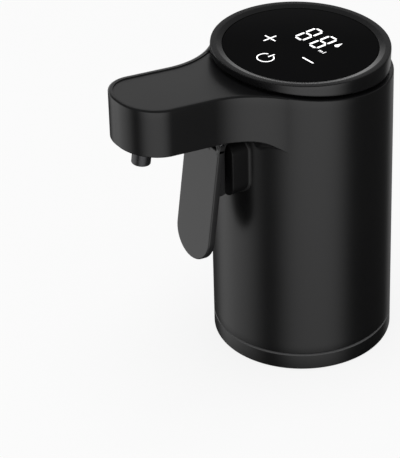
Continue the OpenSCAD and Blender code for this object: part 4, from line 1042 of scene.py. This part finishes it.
def maths(tree, operation, a, b):
    """Sum or product of two values."""
    total = tree.nodes.new("ShaderNodeMath")
    total.operation = operation
    put(tree, total.inputs[0], a)
    put(tree, total.inputs[1], b)
    return total.outputs["Value"]


def blend(tree, share, a, b):
    """The value a where share is 0, and b where it is 1."""
    mix = tree.nodes.new("ShaderNodeMix")
    tree.links.new(share, mix.inputs["Factor"])
    put(tree, mix.inputs["A"], a)
    put(tree, mix.inputs["B"], b)
    return mix.outputs["Result"]


# %% Dome
# A soft box is (azimuth, reach, strength); a step with the height is (low, high, value below, value above).
SOFT_BOXES = ((-21, 53, 0.97), (-130, 50, 0.73), (128, 26, 0.26))
FAR_STRIP = (165, 45, 1.0)
STEP_NEAR, STEP_STRIP = (-0.75, -0.43, 0.15, 1.47), (0.06, 0.26, 1.3, 0.66)
STEP_CEILING, STEP_FLOOR = (0.29, 0.44, 0.0, 1.0), (-0.11, 0.04, 0.0, 1.0)
DIM_FLOOR, DIM_HORIZON, CEILING, EVEN, WHITE = 0.04, 0.12, 0.17, 0.55, 1.0


def studio_dome():
    """White to the camera, even light to matt surfaces, and soft boxes round the floor to glossy ones."""
    world = bpy.data.worlds.new("studio")
    scene.world = world
    world.use_nodes = True
    tree = world.node_tree
    nodes, links = tree.nodes, tree.links
    rays = nodes.new("ShaderNodeLightPath")
    where = nodes.new("ShaderNodeTexCoord")
    split = nodes.new("ShaderNodeSeparateXYZ")
    links.new(where.outputs["Generated"], split.inputs["Vector"])
    height = split.outputs["Z"]
    level = nodes.new("ShaderNodeVectorMath")
    level.operation = "MULTIPLY"
    level.inputs[1].default_value = (1, 1, 0)
    links.new(where.outputs["Generated"], level.inputs[0])
    turned_to = nodes.new("ShaderNodeVectorMath")
    turned_to.operation = "NORMALIZE"
    links.new(level.outputs["Vector"], turned_to.inputs[0])
    heading = turned_to.outputs["Vector"]
    boxes = DIM_FLOOR
    for box in SOFT_BOXES:
        boxes = maths(tree, "ADD", boxes, soft_box(tree, heading, *box))
    boxes = maths(tree, "MULTIPLY", boxes, smooth_step(tree, height, *STEP_NEAR))
    strip = soft_box(tree, heading, *FAR_STRIP)
    strip = maths(tree, "MULTIPLY", strip, smooth_step(tree, height, *STEP_STRIP))
    horizon = maths(tree, "ADD", DIM_HORIZON, strip)
    upper = blend(tree, smooth_step(tree, height, *STEP_CEILING), horizon, CEILING)
    mirrored = blend(tree, smooth_step(tree, height, *STEP_FLOOR), boxes, upper)
    lit = blend(tree, rays.outputs["Is Glossy Ray"], EVEN, mirrored)
    seen = blend(tree, rays.outputs["Is Camera Ray"], lit, WHITE)
    links.new(seen, nodes["Background"].inputs["Strength"])
    nodes["Background"].inputs["Color"].default_value = (1, 1, 1, 1)


studio_dome()

# %% Lamp
LAMP_SPOT, LAMP_AIM, LAMP_SIZE, LAMP_POWER = (0.0, -0.1, 0.9), (0, 0, 0.05), 0.5, 4


def lamp(name, spot, aim, size, power):
    """Square soft lamp at spot, turned to face aim. It lights matt surfaces and is not mirrored."""
    data = bpy.data.lights.new(name, "AREA")
    data.size, data.energy = size, power
    made = bpy.data.objects.new(name, data)
    made.location = spot
    look = np.array(aim) - np.array(spot)
    made.rotation_euler = Vector(look).to_track_quat("-Z", "Y").to_euler()
    made.visible_glossy = False
    scene.collection.objects.link(made)


lamp("top_lamp", LAMP_SPOT, LAMP_AIM, LAMP_SIZE, LAMP_POWER)
print("floor, dome and lamp are in place")
